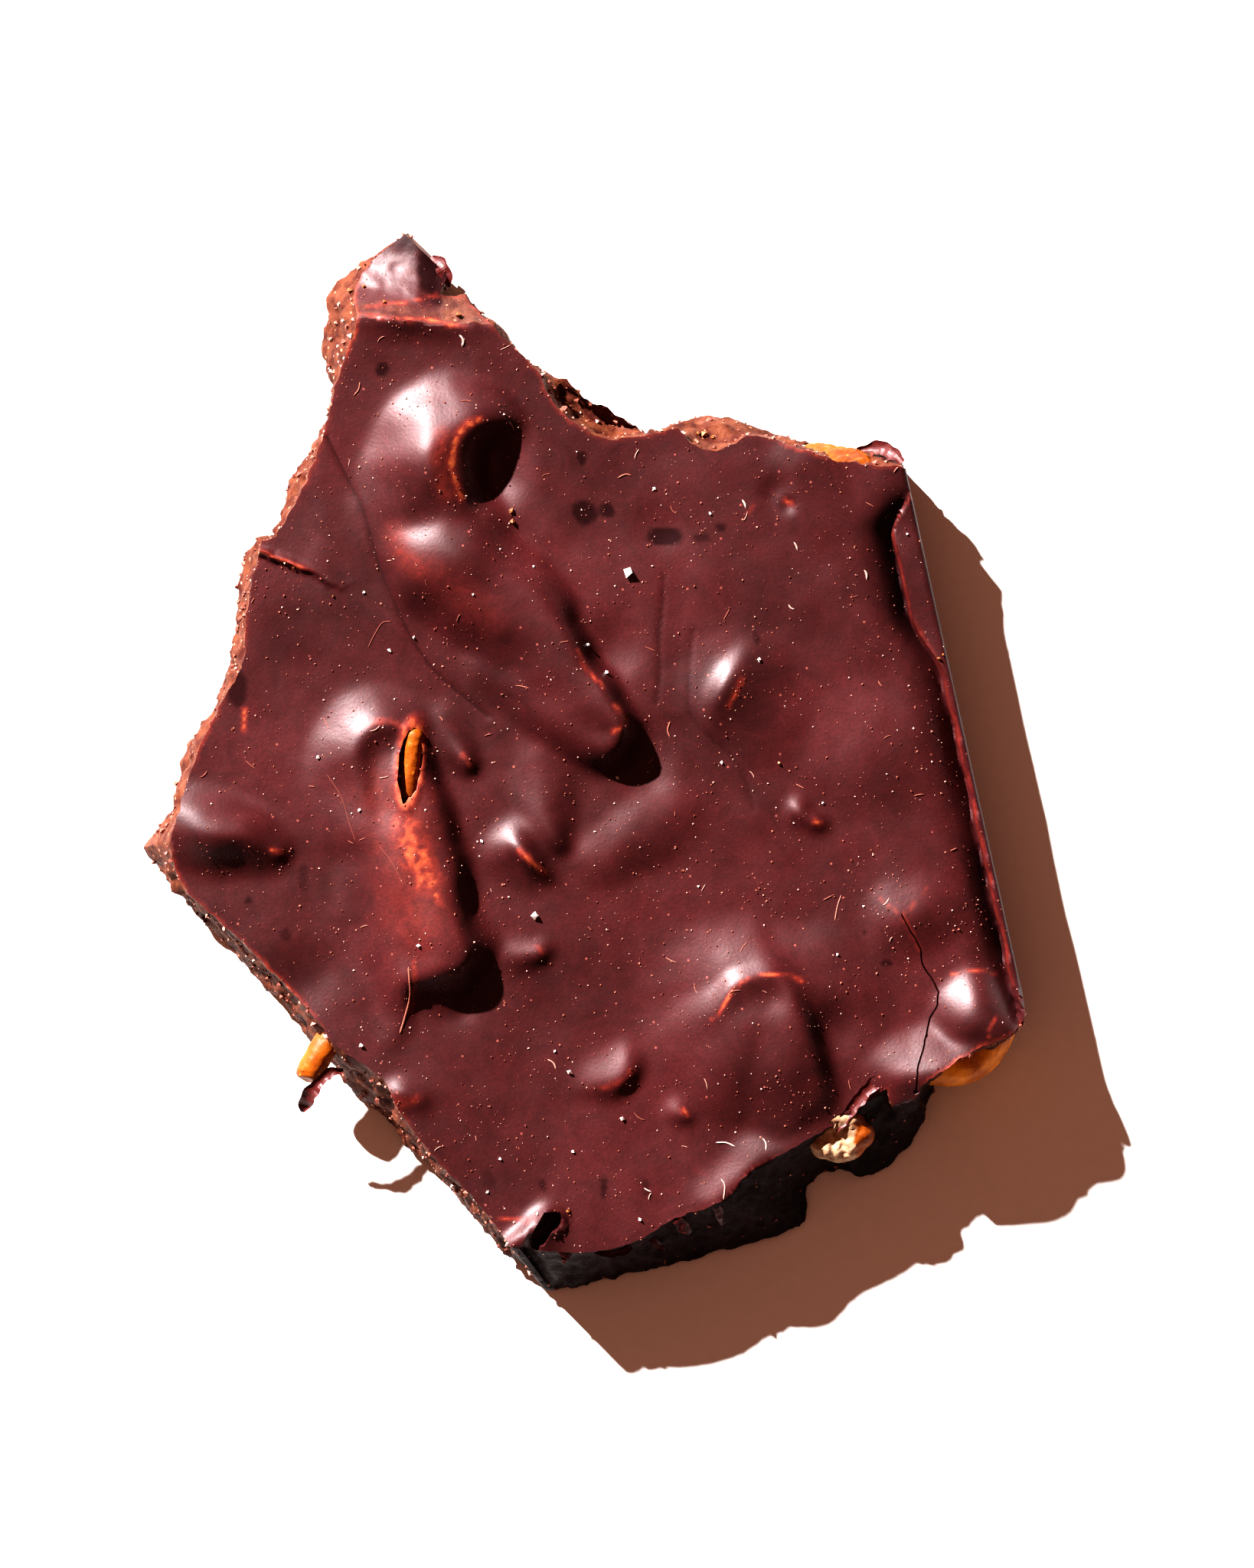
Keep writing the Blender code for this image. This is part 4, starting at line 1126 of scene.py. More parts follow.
def thin_coat_and_painted_glow(x, y, rim):
    """Orange of the thin coat, with painted glow and painted highlights, most along the broken
    edge.
    """
    places = flat_points(x, y)
    wander = 1.0 + GLOW_WANDER * layered_noise(places, GLOW_WANDER_LENGTH, 3, seed=12.0)
    breaks = layered_noise(places, GLOW_BREAKS_LENGTH, 3, seed=33.0)
    broken_up = GLOW_MEAN + GLOW_BREAKS * breaks
    share = np.zeros(np.shape(x))
    for path, reach, most in THIN_COAT_AND_GLOW_PLACES:
        away = np.abs(beside_path(x, y, smooth_path(path, GLOW_STEP)))
        share = np.maximum(share, most * fading(reach * wander, away))
    from_chip = np.abs(chip_edge(x, y)) * wander
    share = np.maximum(share, fading(CHIP_GLOW_REACH, from_chip))
    burr = np.abs(beside_path(x, y, FRACTURE_LINE) - FRACTURE_GLOW_OUT)
    lit = FRACTURE_GLOW * short_of(FRACTURE_BURR_ENDS, x)
    share = np.maximum(share, lit * fading(FRACTURE_GLOW_REACH, burr / wander))
    stretches = past(RIM_STRETCH, smooth_noise(places, RIM_STRETCH_LENGTH, seed=71.0))
    stretches = stretches * past(RIM_GLOW_FROM, y)
    on_rim = short_of(RIM_GLOW_REACH, distance_from(places, rim))
    share = np.maximum(share, RIM_GLOW * on_rim * stretches)
    lip = np.abs(from_moulded_edge(x, y) - lip_width(y) - lip_wobble(y) + LIP_GLOW_INSET)
    on_lip = past(LIP_GLOW_FROM, y) * short_of(LIP_GLOW_TO, y)
    glow = LIP_GLOW * on_lip * fading(LIP_GLOW_REACH, lip / wander)
    return np.clip(np.maximum(share, glow) * broken_up, 0.0, 1.0)


def front_painted_shade(points, normals):
    """How much painted shade a place gets, on the break at the front that faces away from the key.
    """
    facing = FRONT_FACING[0] * normals[:, 0] + FRONT_FACING[1] * normals[:, 1]
    low = short_of(FRONT_BELOW, points[:, 1])
    return low * past(FRONT_TURN, facing) * past(FRONT_RIGHT_OF, points[:, 0])


def rim_hole_shape(x, y):
    """How far the face lies below the pour at the hole, less its raised ring."""
    off_x, off_y = from_segment(x, y, RIM_HOLE, RIM_HOLE_GAP)
    from_gap = np.hypot(off_x, off_y)
    from_hole = np.hypot(x - RIM_HOLE[0], y - RIM_HOLE[1])
    away = np.minimum(from_hole, from_gap + RIM_HOLE_GAP_INSET)
    hollow = 1.0 - smoothstep(RIM_HOLE_FLOOR * RIM_HOLE_RADIUS, RIM_HOLE_RADIUS, away)
    ring_at = from_hole - RIM_HOLE_RADIUS - RIM_HOLE_RING_WIDTH
    ring = RIM_HOLE_RING * ridge_line(ring_at, RIM_HOLE_RING_WIDTH)
    return RIM_HOLE_DEPTH * hollow - ring * past(RIM_HOLE_RING_OPENS, from_gap)


CRACK_LINE = ragged_path(CRACK, 4.0)
FRACTURE_LINE = ragged_path(FRACTURE, 9.0)


def crack_drop(x, y):
    """How far the face lies below the pour in the crack."""
    away = np.abs(beside_path(x, y, CRACK_LINE))
    return CRACK_DEPTH * (1.0 - np.clip(away / CRACK_HALF_WIDTH, 0.0, 1.0))


def fracture_rise(x, y):
    """The plate above the fracture at the left stands up, most at the break."""
    away = beside_path(x, y, FRACTURE_LINE)
    plate = np.exp(-np.maximum(away, 0.0) / FRACTURE_FADE) * past(FRACTURE_STEP_SIDE, away)
    noises = layered_noise(flat_points(x, y), FRACTURE_RAGGED_LENGTH, 2, seed=14.0)
    burr = ridge_line(away - FRACTURE_BURR_OUT, FRACTURE_BURR_WIDTH)
    burr = (1.0 + FRACTURE_RAGGED * noises) * burr
    burr = burr * (1.0 - FRACTURE_BURR_LOSS * past(FRACTURE_BURR_ENDS, x))
    return FRACTURE_STEP * short_of(FRACTURE_STEP_ENDS, x) * plate + FRACTURE_BURR * burr


def torn_share(x, y):
    """Where the poured skin is torn away: the band and the patch beyond the tip's step."""
    beyond = tip_beyond(x, y) - tip_wobble(x)
    torn = past(TORN_FROM, beyond)
    band = torn * short_of(TORN_BAND_ENDS, beyond)
    return np.maximum(TORN_BAND * band, torn * past(TORN_PATCH_FROM, x))


def poured_face(x, y):
    """Height of the poured face with its marks."""
    places = flat_points(x, y)
    bumps = layered_noise(places, TORN_RELIEF_LENGTH, 3, seed=8.0)
    torn = torn_share(x, y) * TORN_RELIEF * bumps
    on_plate = past(PLATE_FROM, tip_beyond(x, y))
    bumps = layered_noise(places, PLATE_RELIEF_LENGTH, 3, seed=17.0)
    plate = PLATE_RELIEF * on_plate * bumps
    ripple = summed_noise(places, RIPPLES) + plate
    marks = fracture_rise(x, y) - flow_marks(x, y) - crack_drop(x, y) - rim_hole_shape(x, y)
    chip_rim = CHIP_RIM * ridge_line(chip_edge(x, y) - CHIP_RIM_OUT, CHIP_RIM_WIDTH)
    return broad_face(x, y) + ripple + torn + marks + chip_rim


def tangent(before, here, after, here_is_corner, leaving):
    """Direction of the outline at a station, per unit of length."""
    step_in = here - before
    step_out = after - here
    length_in = np.linalg.norm(step_in) + 1e-9
    length_out = np.linalg.norm(step_out) + 1e-9
    if here_is_corner:
        return step_out / length_out if leaving else step_in / length_in
    blended = step_in / length_in * length_out + step_out / length_out * length_in
    return blended / (length_in + length_out)


def curve_point(points, corners, i, t):
    """Point at share t of the way from station i to the next, on a smooth curve."""
    count = len(points)
    before, start, end, after = (points[(i + k) % count] for k in (-1, 0, 1, 2))
    length = np.linalg.norm(end - start)
    leave = tangent(before, start, end, corners[i], True) * length
    arrive = tangent(start, end, after, corners[(i + 1) % count], False) * length
    return (
        start * (2 * t**3 - 3 * t**2 + 1)
        + leave * (t**3 - 2 * t**2 + t)
        + end * (3 * t**2 - 2 * t**3)
        + arrive * (t**3 - t**2)
    )


def outward_normals(loop):
    """Unit normals that point out of a clockwise loop."""
    run = np.roll(loop, -1, axis=0) - np.roll(loop, 1, axis=0)
    normals = np.stack((-run[:, 1], run[:, 0]), axis=1)
    return normals / (np.linalg.norm(normals, axis=1, keepdims=True) + 1e-9)


# The columns of the samples along the outline
RIM = slice(0, 2)
EDGE = slice(2, 4)
EDGE_Z, ROUGH, DITCH = 4, 5, 6


def outline_samples(cell):
    """Rim and edge points about one cell apart, with edge height, roughness and ditch."""
    rims = [np.array(s.rim) for s in OUTLINE]
    edges = [np.array(s.edge) for s in OUTLINE]
    sides = [np.array((s.edge_z, s.rough, s.ditch)) for s in OUTLINE]
    corners = [s.corner for s in OUTLINE]
    rows = []
    for i in range(len(OUTLINE)):
        after = (i + 1) % len(OUTLINE)
        rim_run = np.linalg.norm(rims[after] - rims[i])
        edge_run = np.linalg.norm(edges[after] - edges[i])
        steps = max(1, round(max(rim_run, edge_run) / cell))
        for k in range(steps):
            t = k / steps
            rim = curve_point(rims, corners, i, t)
            edge = curve_point(edges, corners, i, t)
            side = sides[i] * (1 - t) + sides[after] * t
            rows.append(np.concatenate((rim, edge, side)))
    samples = np.array(rows)
    rim = samples[:, RIM]
    shift = layered_noise(flat_points(*rim.T), RIM_RAGGED_LENGTH, 3, seed=3.0)
    samples[:, RIM] += outward_normals(rim) * (shift * RIM_RAGGED * samples[:, ROUGH])[:, None]
    return samples


def side_ring(samples, rim_z, level):
    """One ring round the side: level 0 is the rim, 1 the edge and 2 the foot."""
    rim = samples[:, RIM]
    edge = samples[:, EDGE]
    edge_z, rough, ditch = (samples[:, column] for column in (EDGE_Z, ROUGH, DITCH))
    inset = DRAFT * edge_z + FOOT_ROUNDING
    foot = edge - outward_normals(edge) * inset[:, None]
    upper = min(level, 1.0)
    lower = max(level - 1.0, 0.0)
    place = rim + (edge - rim) * upper + (foot - edge) * lower
    height = (rim_z + (edge_z - rim_z) * upper) * (1.0 - lower)
    height = height - ditch * math.sin(math.pi * upper)
    spots = np.column_stack((place, height))
    swing = math.sin(math.pi * min(upper, 0.75)) * (1.0 - lower)
    crags = CRAG * smooth_noise(spots, CRAG_LENGTH) * swing
    fade = past(CRAGS_FROM, level) * short_of(CRAGS_TO, level)
    chips = SCALLOP * (scallops(spots, SCALLOP_LENGTH, seed=1.0) - SCALLOP_MEAN)
    fine = FINE_CRAG * layered_noise(spots, FINE_CRAG_LENGTH, 3, seed=6.0)
    out = outward_normals(rim + edge)
    place = place + out * ((crags + (chips + fine) * fade) * rough)[:, None]
    sag = CRAG_SAG * fine * fade * rough * (0.0 if lower > 0.0 else 1.0)
    return np.column_stack((place, height + sag))


def inside_loop(x, y, loop):
    """Which points lie inside a closed loop."""
    inside = np.zeros(len(x), bool)
    after = np.roll(loop, -1, axis=0)
    for (ax, ay), (bx, by) in zip(loop, after):
        if ay == by:
            continue
        crosses = (ay > y) != (by > y)
        inside ^= crosses & (x < (bx - ax) * (y - ay) / (by - ay) + ax)
    return inside


def lip_rows(cell):
    """Points along the lip, so that its rounding and its inner side come out straight."""
    start, run, length, inward = moulded_edge_frame()
    points = []
    for share in np.arange(cell, length - cell, cell) / length:
        on_edge = start + run * share
        lip = lip_width(on_edge[1]) + lip_wobble(on_edge[1])
        beside = [lip + row for row in LIP_ROWS if lip + row > ROUNDED_WIDTH]
        points += [on_edge + inward * away for away in (*ROUNDING_ROWS, *beside)]
    return np.array(points)


def line_rows(line, offsets):
    """Points along a line at distances to its left."""
    run = np.gradient(line, axis=0)
    left = np.column_stack((-run[:, 1], run[:, 0]))
    left /= np.linalg.norm(left, axis=1, keepdims=True) + 1e-9
    return np.concatenate([line + left * away for away in offsets])


def tip_rows(cell):
    """Points along the step at the tip."""
    xs = np.arange(TIP_STEP_LEFT[0] - 1.0, TIP_STEP_RIGHT[0] + 1.0, cell)
    rows = []
    for share in TIP_ROWS:
        ys = share * TIP_STEP_RUN - tip_beyond(xs, 0.0) + tip_wobble(xs)
        rows.append(np.column_stack((xs, ys)))
    return np.concatenate(rows)


def clear_of(points, others, distance):
    """The points that lie further than a distance from all the others."""
    return points[distance_from(points, others) > distance]


def face_grid(rim, cell):
    """Evenly spread points inside the rim, and rows of points along each sharp line."""
    row_step = cell * math.sqrt(3.0) / 2.0
    low = rim.min(axis=0)
    high = rim.max(axis=0)
    points = []
    for row in range(int((high[1] - low[1]) / row_step) + 1):
        shift = cell * 0.5 * (row % 2)
        xs = np.arange(low[0] + shift, high[0], cell)
        points.append(np.column_stack((xs, np.full(len(xs), low[1] + row * row_step))))
    points = np.concatenate(points)
    crack = line_rows(CRACK_LINE, (-CRACK_HALF_WIDTH, 0.0, CRACK_HALF_WIDTH))
    fracture = line_rows(FRACTURE_LINE, FRACTURE_ROWS)
    seam = line_rows(smooth_path(FLOW_LINES[0].path, SEAM_STEP), SEAM_ROWS)
    rows = np.concatenate((lip_rows(cell), crack, fracture, seam, tip_rows(cell)))
    rows = clear_of(rows[inside_loop(*rows.T, rim)], rim, ROW_CLEARANCE * cell)
    points = clear_of(points[inside_loop(*points.T, rim)], rim, GRID_CLEARANCE * cell)
    return np.concatenate((clear_of(points, rows, GRID_CLEARANCE * cell), rows))


def face_triangles(rim, grid):
    """Triangles over the rim loop and the grid, numbered rim first."""
    points = [Vector(p) for p in np.concatenate((rim, grid))]
    count = len(rim)
    borders = [(i, (i + 1) % count) for i in range(count)]
    _, _, triangles, origins, _, _ = delaunay_2d_cdt(points, borders, [], 1, 1e-6)
    number = [found[0] for found in origins]
    return [tuple(number[corner] for corner in triangle) for triangle in triangles]


# The finishes of the chocolate, by their places in its list of materials
SKIN, BROKEN, MOULDED = 0, 1, 2


def slab_mesh():
    """The chocolate as one closed mesh in millimetres, before the pockets are cut."""
    samples = outline_samples(CELL)
    rim = samples[:, RIM]
    rim_z = poured_face(*rim.T)
    grid = face_grid(rim, CELL)
    grid_z = poured_face(*grid.T)
    levels = [k / UPPER_RINGS for k in range(1, UPPER_RINGS + 1)]
    levels += [1.0 + k / LOWER_RINGS for k in range(1, LOWER_RINGS + 1)]
    rings = [np.column_stack((rim, rim_z)), np.column_stack((grid, grid_z))]
    rings += [side_ring(samples, rim_z, level) for level in levels]
    count = len(rim)
    starts = [0] + [count + len(grid) + k * count for k in range(len(levels))]
    faces = face_triangles(rim, grid)
    finishes = [SKIN] * len(faces)
    smooth = samples[:, ROUGH] < MOULDED_ROUGHNESS
    moulded = smooth & (samples[:, EDGE_Z] > MOULDED_EDGE_ABOVE)
    for upper, lower in zip(starts, starts[1:]):
        for i in range(count):
            j = (i + 1) % count
            faces.append((upper + i, upper + j, lower + j, lower + i))
            finishes.append(MOULDED if moulded[i] else BROKEN)
    faces.append(tuple(range(starts[-1], starts[-1] + count)))
    finishes.append(MOULDED)
    mesh = bpy.data.meshes.new("chocolate_slab")
    mesh.from_pydata(np.concatenate(rings).tolist(), [], faces)
    mesh.polygons.foreach_set("material_index", finishes)
    return mesh


def strand_rings(strand):
    """Rings round a strand from end to end, each as a centre, a direction and a radius."""
    path = [Vector(p) for p in smooth_path(strand.path, STRAND_STEP)]
    radius = strand.radius
    first = (path[1] - path[0]).normalized()
    last = (path[-1] - path[-2]).normalized()
    caps = [math.radians(90.0 * k / CAP_RINGS) for k in range(1, CAP_RINGS)]
    rings = []
    for turn in caps:
        rings.append((path[0] - first * radius * math.cos(turn), first, radius * math.sin(turn)))
    for i, point in enumerate(path):
        ahead = path[min(i + 1, len(path) - 1)]
        behind = path[max(i - 1, 0)]
        rings.append((point, (ahead - behind).normalized(), radius))
    for turn in reversed(caps):
        rings.append((path[-1] + last * radius * math.cos(turn), last, radius * math.sin(turn)))
    ends = (path[0] - first * radius, path[-1] + last * radius)
    return rings, ends


def spokes(direction, sides):
    """Unit vectors square to a direction, evenly spread round it."""
    side = direction.cross(Vector((0.0, 0.0, 1.0))).normalized()
    up = side.cross(direction)
    turns = [2.0 * math.pi * k / sides for k in range(sides)]
    return [side * math.cos(turn) + up * math.sin(turn) for turn in turns]


def add_strand(work, strand):
    """A bumpy baked strand with round ends, added to a bmesh in millimetres."""
    rings, ends = strand_rings(strand)
    seed = Vector((strand.seed, 0.0, 0.0))
    loops = []
    for centre, direction, radius in rings:
        loop = []
        for spoke in spokes(direction, STRAND_SIDES):
            bumpy = noise.noise((centre + spoke * radius) / STRAND_BUMP_LENGTH + seed)
            loop.append(work.verts.new(centre + spoke * (radius + STRAND_BUMP * bumpy)))
        loops.append(loop)
    for loop, after in zip(loops, loops[1:]):
        for k in range(STRAND_SIDES):
            n = (k + 1) % STRAND_SIDES
            work.faces.new((loop[k], loop[n], after[n], after[k]))
    for end, loop, turned in ((ends[0], loops[0], True), (ends[1], loops[-1], False)):
        pole = work.verts.new(end)
        for k in range(STRAND_SIDES):
            n = (k + 1) % STRAND_SIDES
            work.faces.new((loop[n], loop[k], pole) if turned else (loop[k], loop[n], pole))


def break_strand(work, strand):
    """Cuts the strand off flat where its broken face shows."""
    if strand.break_point is None:
        return
    normal = Vector(strand.break_normal).normalized()
    whole = work.verts[:] + work.edges[:] + work.faces[:]
    cut = bmesh.ops.bisect_plane(
        work,
        geom=whole,
        plane_co=Vector(strand.break_point),
        plane_no=normal,
        clear_outer=True,
    )
    open_edges = [e for e in cut["geom_cut"] if isinstance(e, bmesh.types.BMEdge)]
    bmesh.ops.holes_fill(work, edges=open_edges)


def mesh_from(name, work):
    """Turns a bmesh into a mesh with its faces pointing out."""
    bmesh.ops.recalc_face_normals(work, faces=work.faces[:])
    mesh = bpy.data.meshes.new(name)
    work.to_mesh(mesh)
    work.free()
    return mesh


def strand_mesh(name, strand, lumps=()):
    """A strand with its broken end, and with lumps that stand out of it."""
    work = bmesh.new()
    add_strand(work, strand)
    break_strand(work, strand)
    for x, y, z, radius in lumps:
        place = Matrix.Translation((x, y, z))
        bmesh.ops.create_icosphere(work, subdivisions=3, radius=radius, matrix=place)
    return mesh_from(name, work)


def chip_mesh():
    """The upright ragged slot that opens the coat over pretzel_ridge."""
    work = bmesh.new()
    corners = CHIP_CORNERS
    for height in (CHIP_FLOOR, CHIP_TOP):
        for k in range(corners):
            turn = 2.0 * math.pi * k / corners
            spoke = CHIP_RAGGED_RATE * math.cos(turn), CHIP_RAGGED_RATE * math.sin(turn), 0.5
            ragged = 1.0 + CHIP_RAGGED * noise.noise(Vector(spoke))
            along = CHIP_HALF_LENGTH * math.cos(turn) * ragged
            across = CHIP_HALF_WIDTH * math.sin(turn) * ragged
            place = Matrix.Rotation(math.radians(CHIP_BEARING), 2) @ Vector((along, across))
            work.verts.new((CHIP_CENTRE[0] + place.x, CHIP_CENTRE[1] + place.y, height))
    work.verts.ensure_lookup_table()
    work.faces.new(work.verts[:corners])
    work.faces.new(work.verts[corners:])
    for k in range(corners):
        n = (k + 1) % corners
        work.faces.new([work.verts[i] for i in (k, n, corners + n, corners + k)])
    return mesh_from("chip", work)


def link_object(name, data, finishes=()):
    """Puts a mesh, a light or a camera into the scene as an object."""
    thing = bpy.data.objects.new(name, data)
    bpy.context.scene.collection.objects.link(thing)
    for finish in finishes:
        data.materials.append(finish)
    return thing


def apply_modifiers(thing):
    """Replaces the object's mesh by what its modifiers make of it."""
    bpy.context.view_layer.update()
    seen = thing.evaluated_get(bpy.context.evaluated_depsgraph_get())
    made = bpy.data.meshes.new_from_object(seen)
    old = thing.data
    thing.modifiers.clear()
    thing.data = made
    bpy.data.meshes.remove(old)


def mesh_rows(mesh, field):
    """The places (co) or the normals (normal) of a mesh's points, as rows."""
    flat = np.zeros(len(mesh.vertices) * 3)
    mesh.vertices.foreach_get(field, flat)
    return flat.reshape(-1, 3)


def set_points(mesh, points):
    mesh.vertices.foreach_set("co", points.ravel())
    mesh.update()


def set_attribute(mesh, name, values):
    made = mesh.attributes.new(name, "FLOAT", "POINT")
    made.data.foreach_set("value", np.asarray(values, np.float32))


def to_metres(mesh):
    mesh.transform(Matrix.Scale(MM, 4))
    mesh.update()


def fill_inputs(tree, node, inputs):
    """Links a node's inputs where a socket is given, else sets them."""
    for name, value in inputs.items():
        if isinstance(value, bpy.types.NodeSocket):
            tree.links.new(value, node.inputs[name])
        else:
            node.inputs[name].default_value = value


def add_node(tree, kind, inputs=None, **settings):
    made = tree.nodes.new(kind)
    for name, value in settings.items():
        setattr(made, name, value)
    fill_inputs(tree, made, inputs or {})
    return made


def new_material(name):
    made = bpy.data.materials.new(name)
    made.use_nodes = True
    tree = made.node_tree
    place = add_node(tree, "ShaderNodeTexCoord").outputs["Object"]
    return made, tree, tree.nodes["Principled BSDF"], place


def grain(tree, place, size, detail, distortion=0.0):
    """Noise with features about a size in millimetres, as a value."""
    made = add_node(
        tree,
        "ShaderNodeTexNoise",
        {"Vector": place, "Scale": 1.0 / (size * MM), "Detail": detail, "Distortion": distortion},
    )
    return made.outputs["Fac"]


def value_range(tree, value, low, high, new_low=0.0, new_high=1.0):
    ends = {"From Min": low, "From Max": high, "To Min": new_low, "To Max": new_high}
    return add_node(tree, "ShaderNodeMapRange", {"Value": value, **ends}).outputs["Result"]


def grain_range(tree, place, size, detail, low, high, new_low=0.0, new_high=1.0):
    """Noise as in grain, with the part from low to high spread over the new range."""
    return value_range(tree, grain(tree, place, size, detail), low, high, new_low, new_high)


def mix_colour(tree, share, first, second):
    made = add_node(tree, "ShaderNodeMix", {"Factor": share}, data_type="RGBA")
    for number, value in ((6, first), (7, second)):
        is_socket = isinstance(value, bpy.types.NodeSocket)
        fill_inputs(tree, made, {number: value if is_socket else (*value, 1.0)})
    return made.outputs[2]


def math_value(tree, operation, first, second):
    inputs = {0: first, 1: second}
    return add_node(tree, "ShaderNodeMath", inputs, operation=operation).outputs[0]


def bump(tree, height, depth, before=None):
    """Small relief of a depth in millimetres, over an earlier one if given."""
    inputs = {"Height": height, "Strength": 1.0, "Distance": depth * MM}
    if before is not None:
        inputs["Normal"] = before
    return add_node(tree, "ShaderNodeBump", inputs).outputs["Normal"]


def attribute(tree, name):
    return add_node(tree, "ShaderNodeAttribute", attribute_name=name).outputs["Fac"]


def specks(tree, place, spacing, size, share):
    """Small round spots: a spacing, a radius and the share of places that have one."""
    made = add_node(
        tree,
        "ShaderNodeTexVoronoi",
        {"Vector": place, "Scale": 1.0 / (spacing * MM), "Randomness": 1.0},
    )
    reach = size / spacing
    near = value_range(tree, made.outputs["Distance"], 0.7 * size / spacing, reach, 1.0, 0.0)
    chosen = add_node(tree, "ShaderNodeSeparateColor", {"Color": made.outputs["Color"]}).outputs[0]
    drawn = math_value(tree, "LESS_THAN", chosen, share)
    return math_value(tree, "MULTIPLY", near, drawn)


# Colours of the finishes, each with its darker and lighter tones
SKIN_DARK = (0.030, 0.0042, 0.0046)
SKIN_LIGHT = (0.062, 0.0090, 0.0098)
SKIN_SHEEN = (1.0, 0.84, 0.85, 1.0)
SPECK_COLOUR = (0.22, 0.062, 0.048)
# Dark for marks and for painted shade; below it, painted shade for the front break
MARK_AND_SHADE_COLOUR = (0.014, 0.0030, 0.0034)
FRONT_SHADE_COLOUR = (0.014, 0.0036, 0.0036)
BROKEN_DARK = (0.050, 0.0100, 0.0064)
BROKEN_LIGHT = (0.120, 0.0370, 0.0190)
CRUMB_COLOUR = (0.36, 0.150, 0.095)
# Orange of the thin coat over pretzel, also used for painted glow and painted highlights
THIN_COAT_AND_GLOW_RED = (0.17, 0.022, 0.014)
THIN_COAT_AND_GLOW_ORANGE = (0.46, 0.115, 0.040)
CRUST_DARK = (0.14, 0.027, 0.002)
CRUST_LIGHT = (0.30, 0.074, 0.004)
# Painted light: the brighter crust of a strand that lies in shade
PAINTED_LIGHT_CRUST_DARK = (0.36, 0.090, 0.003)
PAINTED_LIGHT_CRUST_BRIGHT = (0.78, 0.270, 0.008)
BLISTER_COLOUR = (0.42, 0.14, 0.014)
PRETZEL_CRUMB_DARK = (0.26, 0.140, 0.080)
PRETZEL_CRUMB_LIGHT = (0.44, 0.29, 0.18)
DUST_DARK = (0.10, 0.018, 0.014)
DUST_MIDDLE = (0.38, 0.135, 0.095)
DUST_PALE = (0.82, 0.68, 0.60)
SALT_DARK = (0.70, 0.58, 0.52)
SALT_LIGHT = (0.90, 0.86, 0.82)
SALT_GLOW_DEPTHS = (0.4 * MM, 0.3 * MM, 0.3 * MM)
FLOOR_DARK = (0.86, 0.85, 0.83)
FLOOR_LIGHT = (0.88, 0.87, 0.85)

# The foot took the mould's gloss, and the side above it was scuffed dull
FOOT_SHINE_HEIGHTS = (0.05 * MM, 0.5 * MM)
FOOT_SHINE = 0.3
SIDE_SHINE = 0.0


def torn_look(tree, place):
    """Colour and relief height of a broken chocolate face."""
    patches = grain_range(tree, place, 1.1, 5.0, 0.35, 0.65)
    colour = mix_colour(tree, patches, BROKEN_DARK, BROKEN_LIGHT)
    crumbs = specks(tree, place, 0.7, 0.14, 0.5)
    return mix_colour(tree, crumbs, colour, CRUMB_COLOUR), grain(tree, place, 0.45, 4.0)


def chocolate_skin():
    """The poured face: satin, faintly mottled, dusted, orange where thin, painted shade and glow.
    """
    made, tree, shader, place = new_material("chocolate_skin")
    clouds = grain(tree, place, 9.0, 3.0)
    streaks = grain(tree, place, 3.2, 4.0, 2.5)
    tone = math_value(tree, "ADD", clouds, math_value(tree, "MULTIPLY", streaks, 0.6))
    tone = value_range(tree, tone, 0.55, 1.05)
    colour = mix_colour(tree, tone, SKIN_DARK, SKIN_LIGHT)
    dust = specks(tree, place, 1.3, 0.11, 0.55)
    colour = mix_colour(tree, dust, colour, SPECK_COLOUR)
    torn_colour, torn_relief = torn_look(tree, place)
    torn = attribute(tree, "torn")
    colour = mix_colour(tree, torn, colour, torn_colour)
    # Marks, and painted shade in patches, on the flow lines and in the groove
    mark_and_shade = attribute(tree, "mark_and_shade")
    colour = mix_colour(tree, mark_and_shade, colour, MARK_AND_SHADE_COLOUR)
    # Orange where the coat is thin, with painted glow and painted highlights on lit edges
    thin = attribute(tree, "thin")
    glow = value_range(tree, thin, 0.0, 0.5)
    colour = mix_colour(tree, glow, colour, THIN_COAT_AND_GLOW_RED)
    brightest = value_range(tree, thin, 0.4, 0.9)
    scratches = value_range(tree, grain(tree, place, 0.7, 5.0, 1.5), 0.35, 0.6, 0.5, 1.0)
    brightest = math_value(tree, "MULTIPLY", brightest, scratches)
    colour = mix_colour(tree, brightest, colour, THIN_COAT_AND_GLOW_ORANGE)
    sand = grain_range(tree, place, 0.22, 2.0, 0.35, 0.65, 0.0, 0.3)
    satin = grain_range(tree, place, 2.4, 3.0, 0.3, 0.7, 0.44, 0.50)
    fine = bump(tree, grain(tree, place, 0.25, 3.0), 0.012)
    torn_height = math_value(tree, "MULTIPLY", torn_relief, torn)
    torn_rough = math_value(tree, "MULTIPLY", torn, 0.7)
    fill_inputs(tree, shader, {
        "Base Color": mix_colour(tree, sand, colour, MARK_AND_SHADE_COLOUR),
        "Roughness": math_value(tree, "MAXIMUM", satin, torn_rough),
        "Specular Tint": SKIN_SHEEN,
        "Specular IOR Level": value_range(tree, mark_and_shade, 0.0, 1.0, 0.36, 0.10),
        "Normal": bump(tree, torn_height, 0.12, fine),
    })
    return made


def broken_chocolate():
    """A broken face: dull, paler, with crumbs and small pits, and painted shade on the front break.
    """
    made, tree, shader, place = new_material("broken_chocolate")
    colour, relief = torn_look(tree, place)
    fill_inputs(tree, shader, {
        # Painted shade: the break at the front, turned away from the key, is darkened nearly to
        # black
        "Base Color": mix_colour(tree, attribute(tree, "front"), colour, FRONT_SHADE_COLOUR),
        "Roughness": grain_range(tree, place, 0.8, 2.0, 0.3, 0.7, 0.5, 0.75),
        "Specular IOR Level": 0.08,
        "Normal": bump(tree, relief, 0.12),
    })
    return made


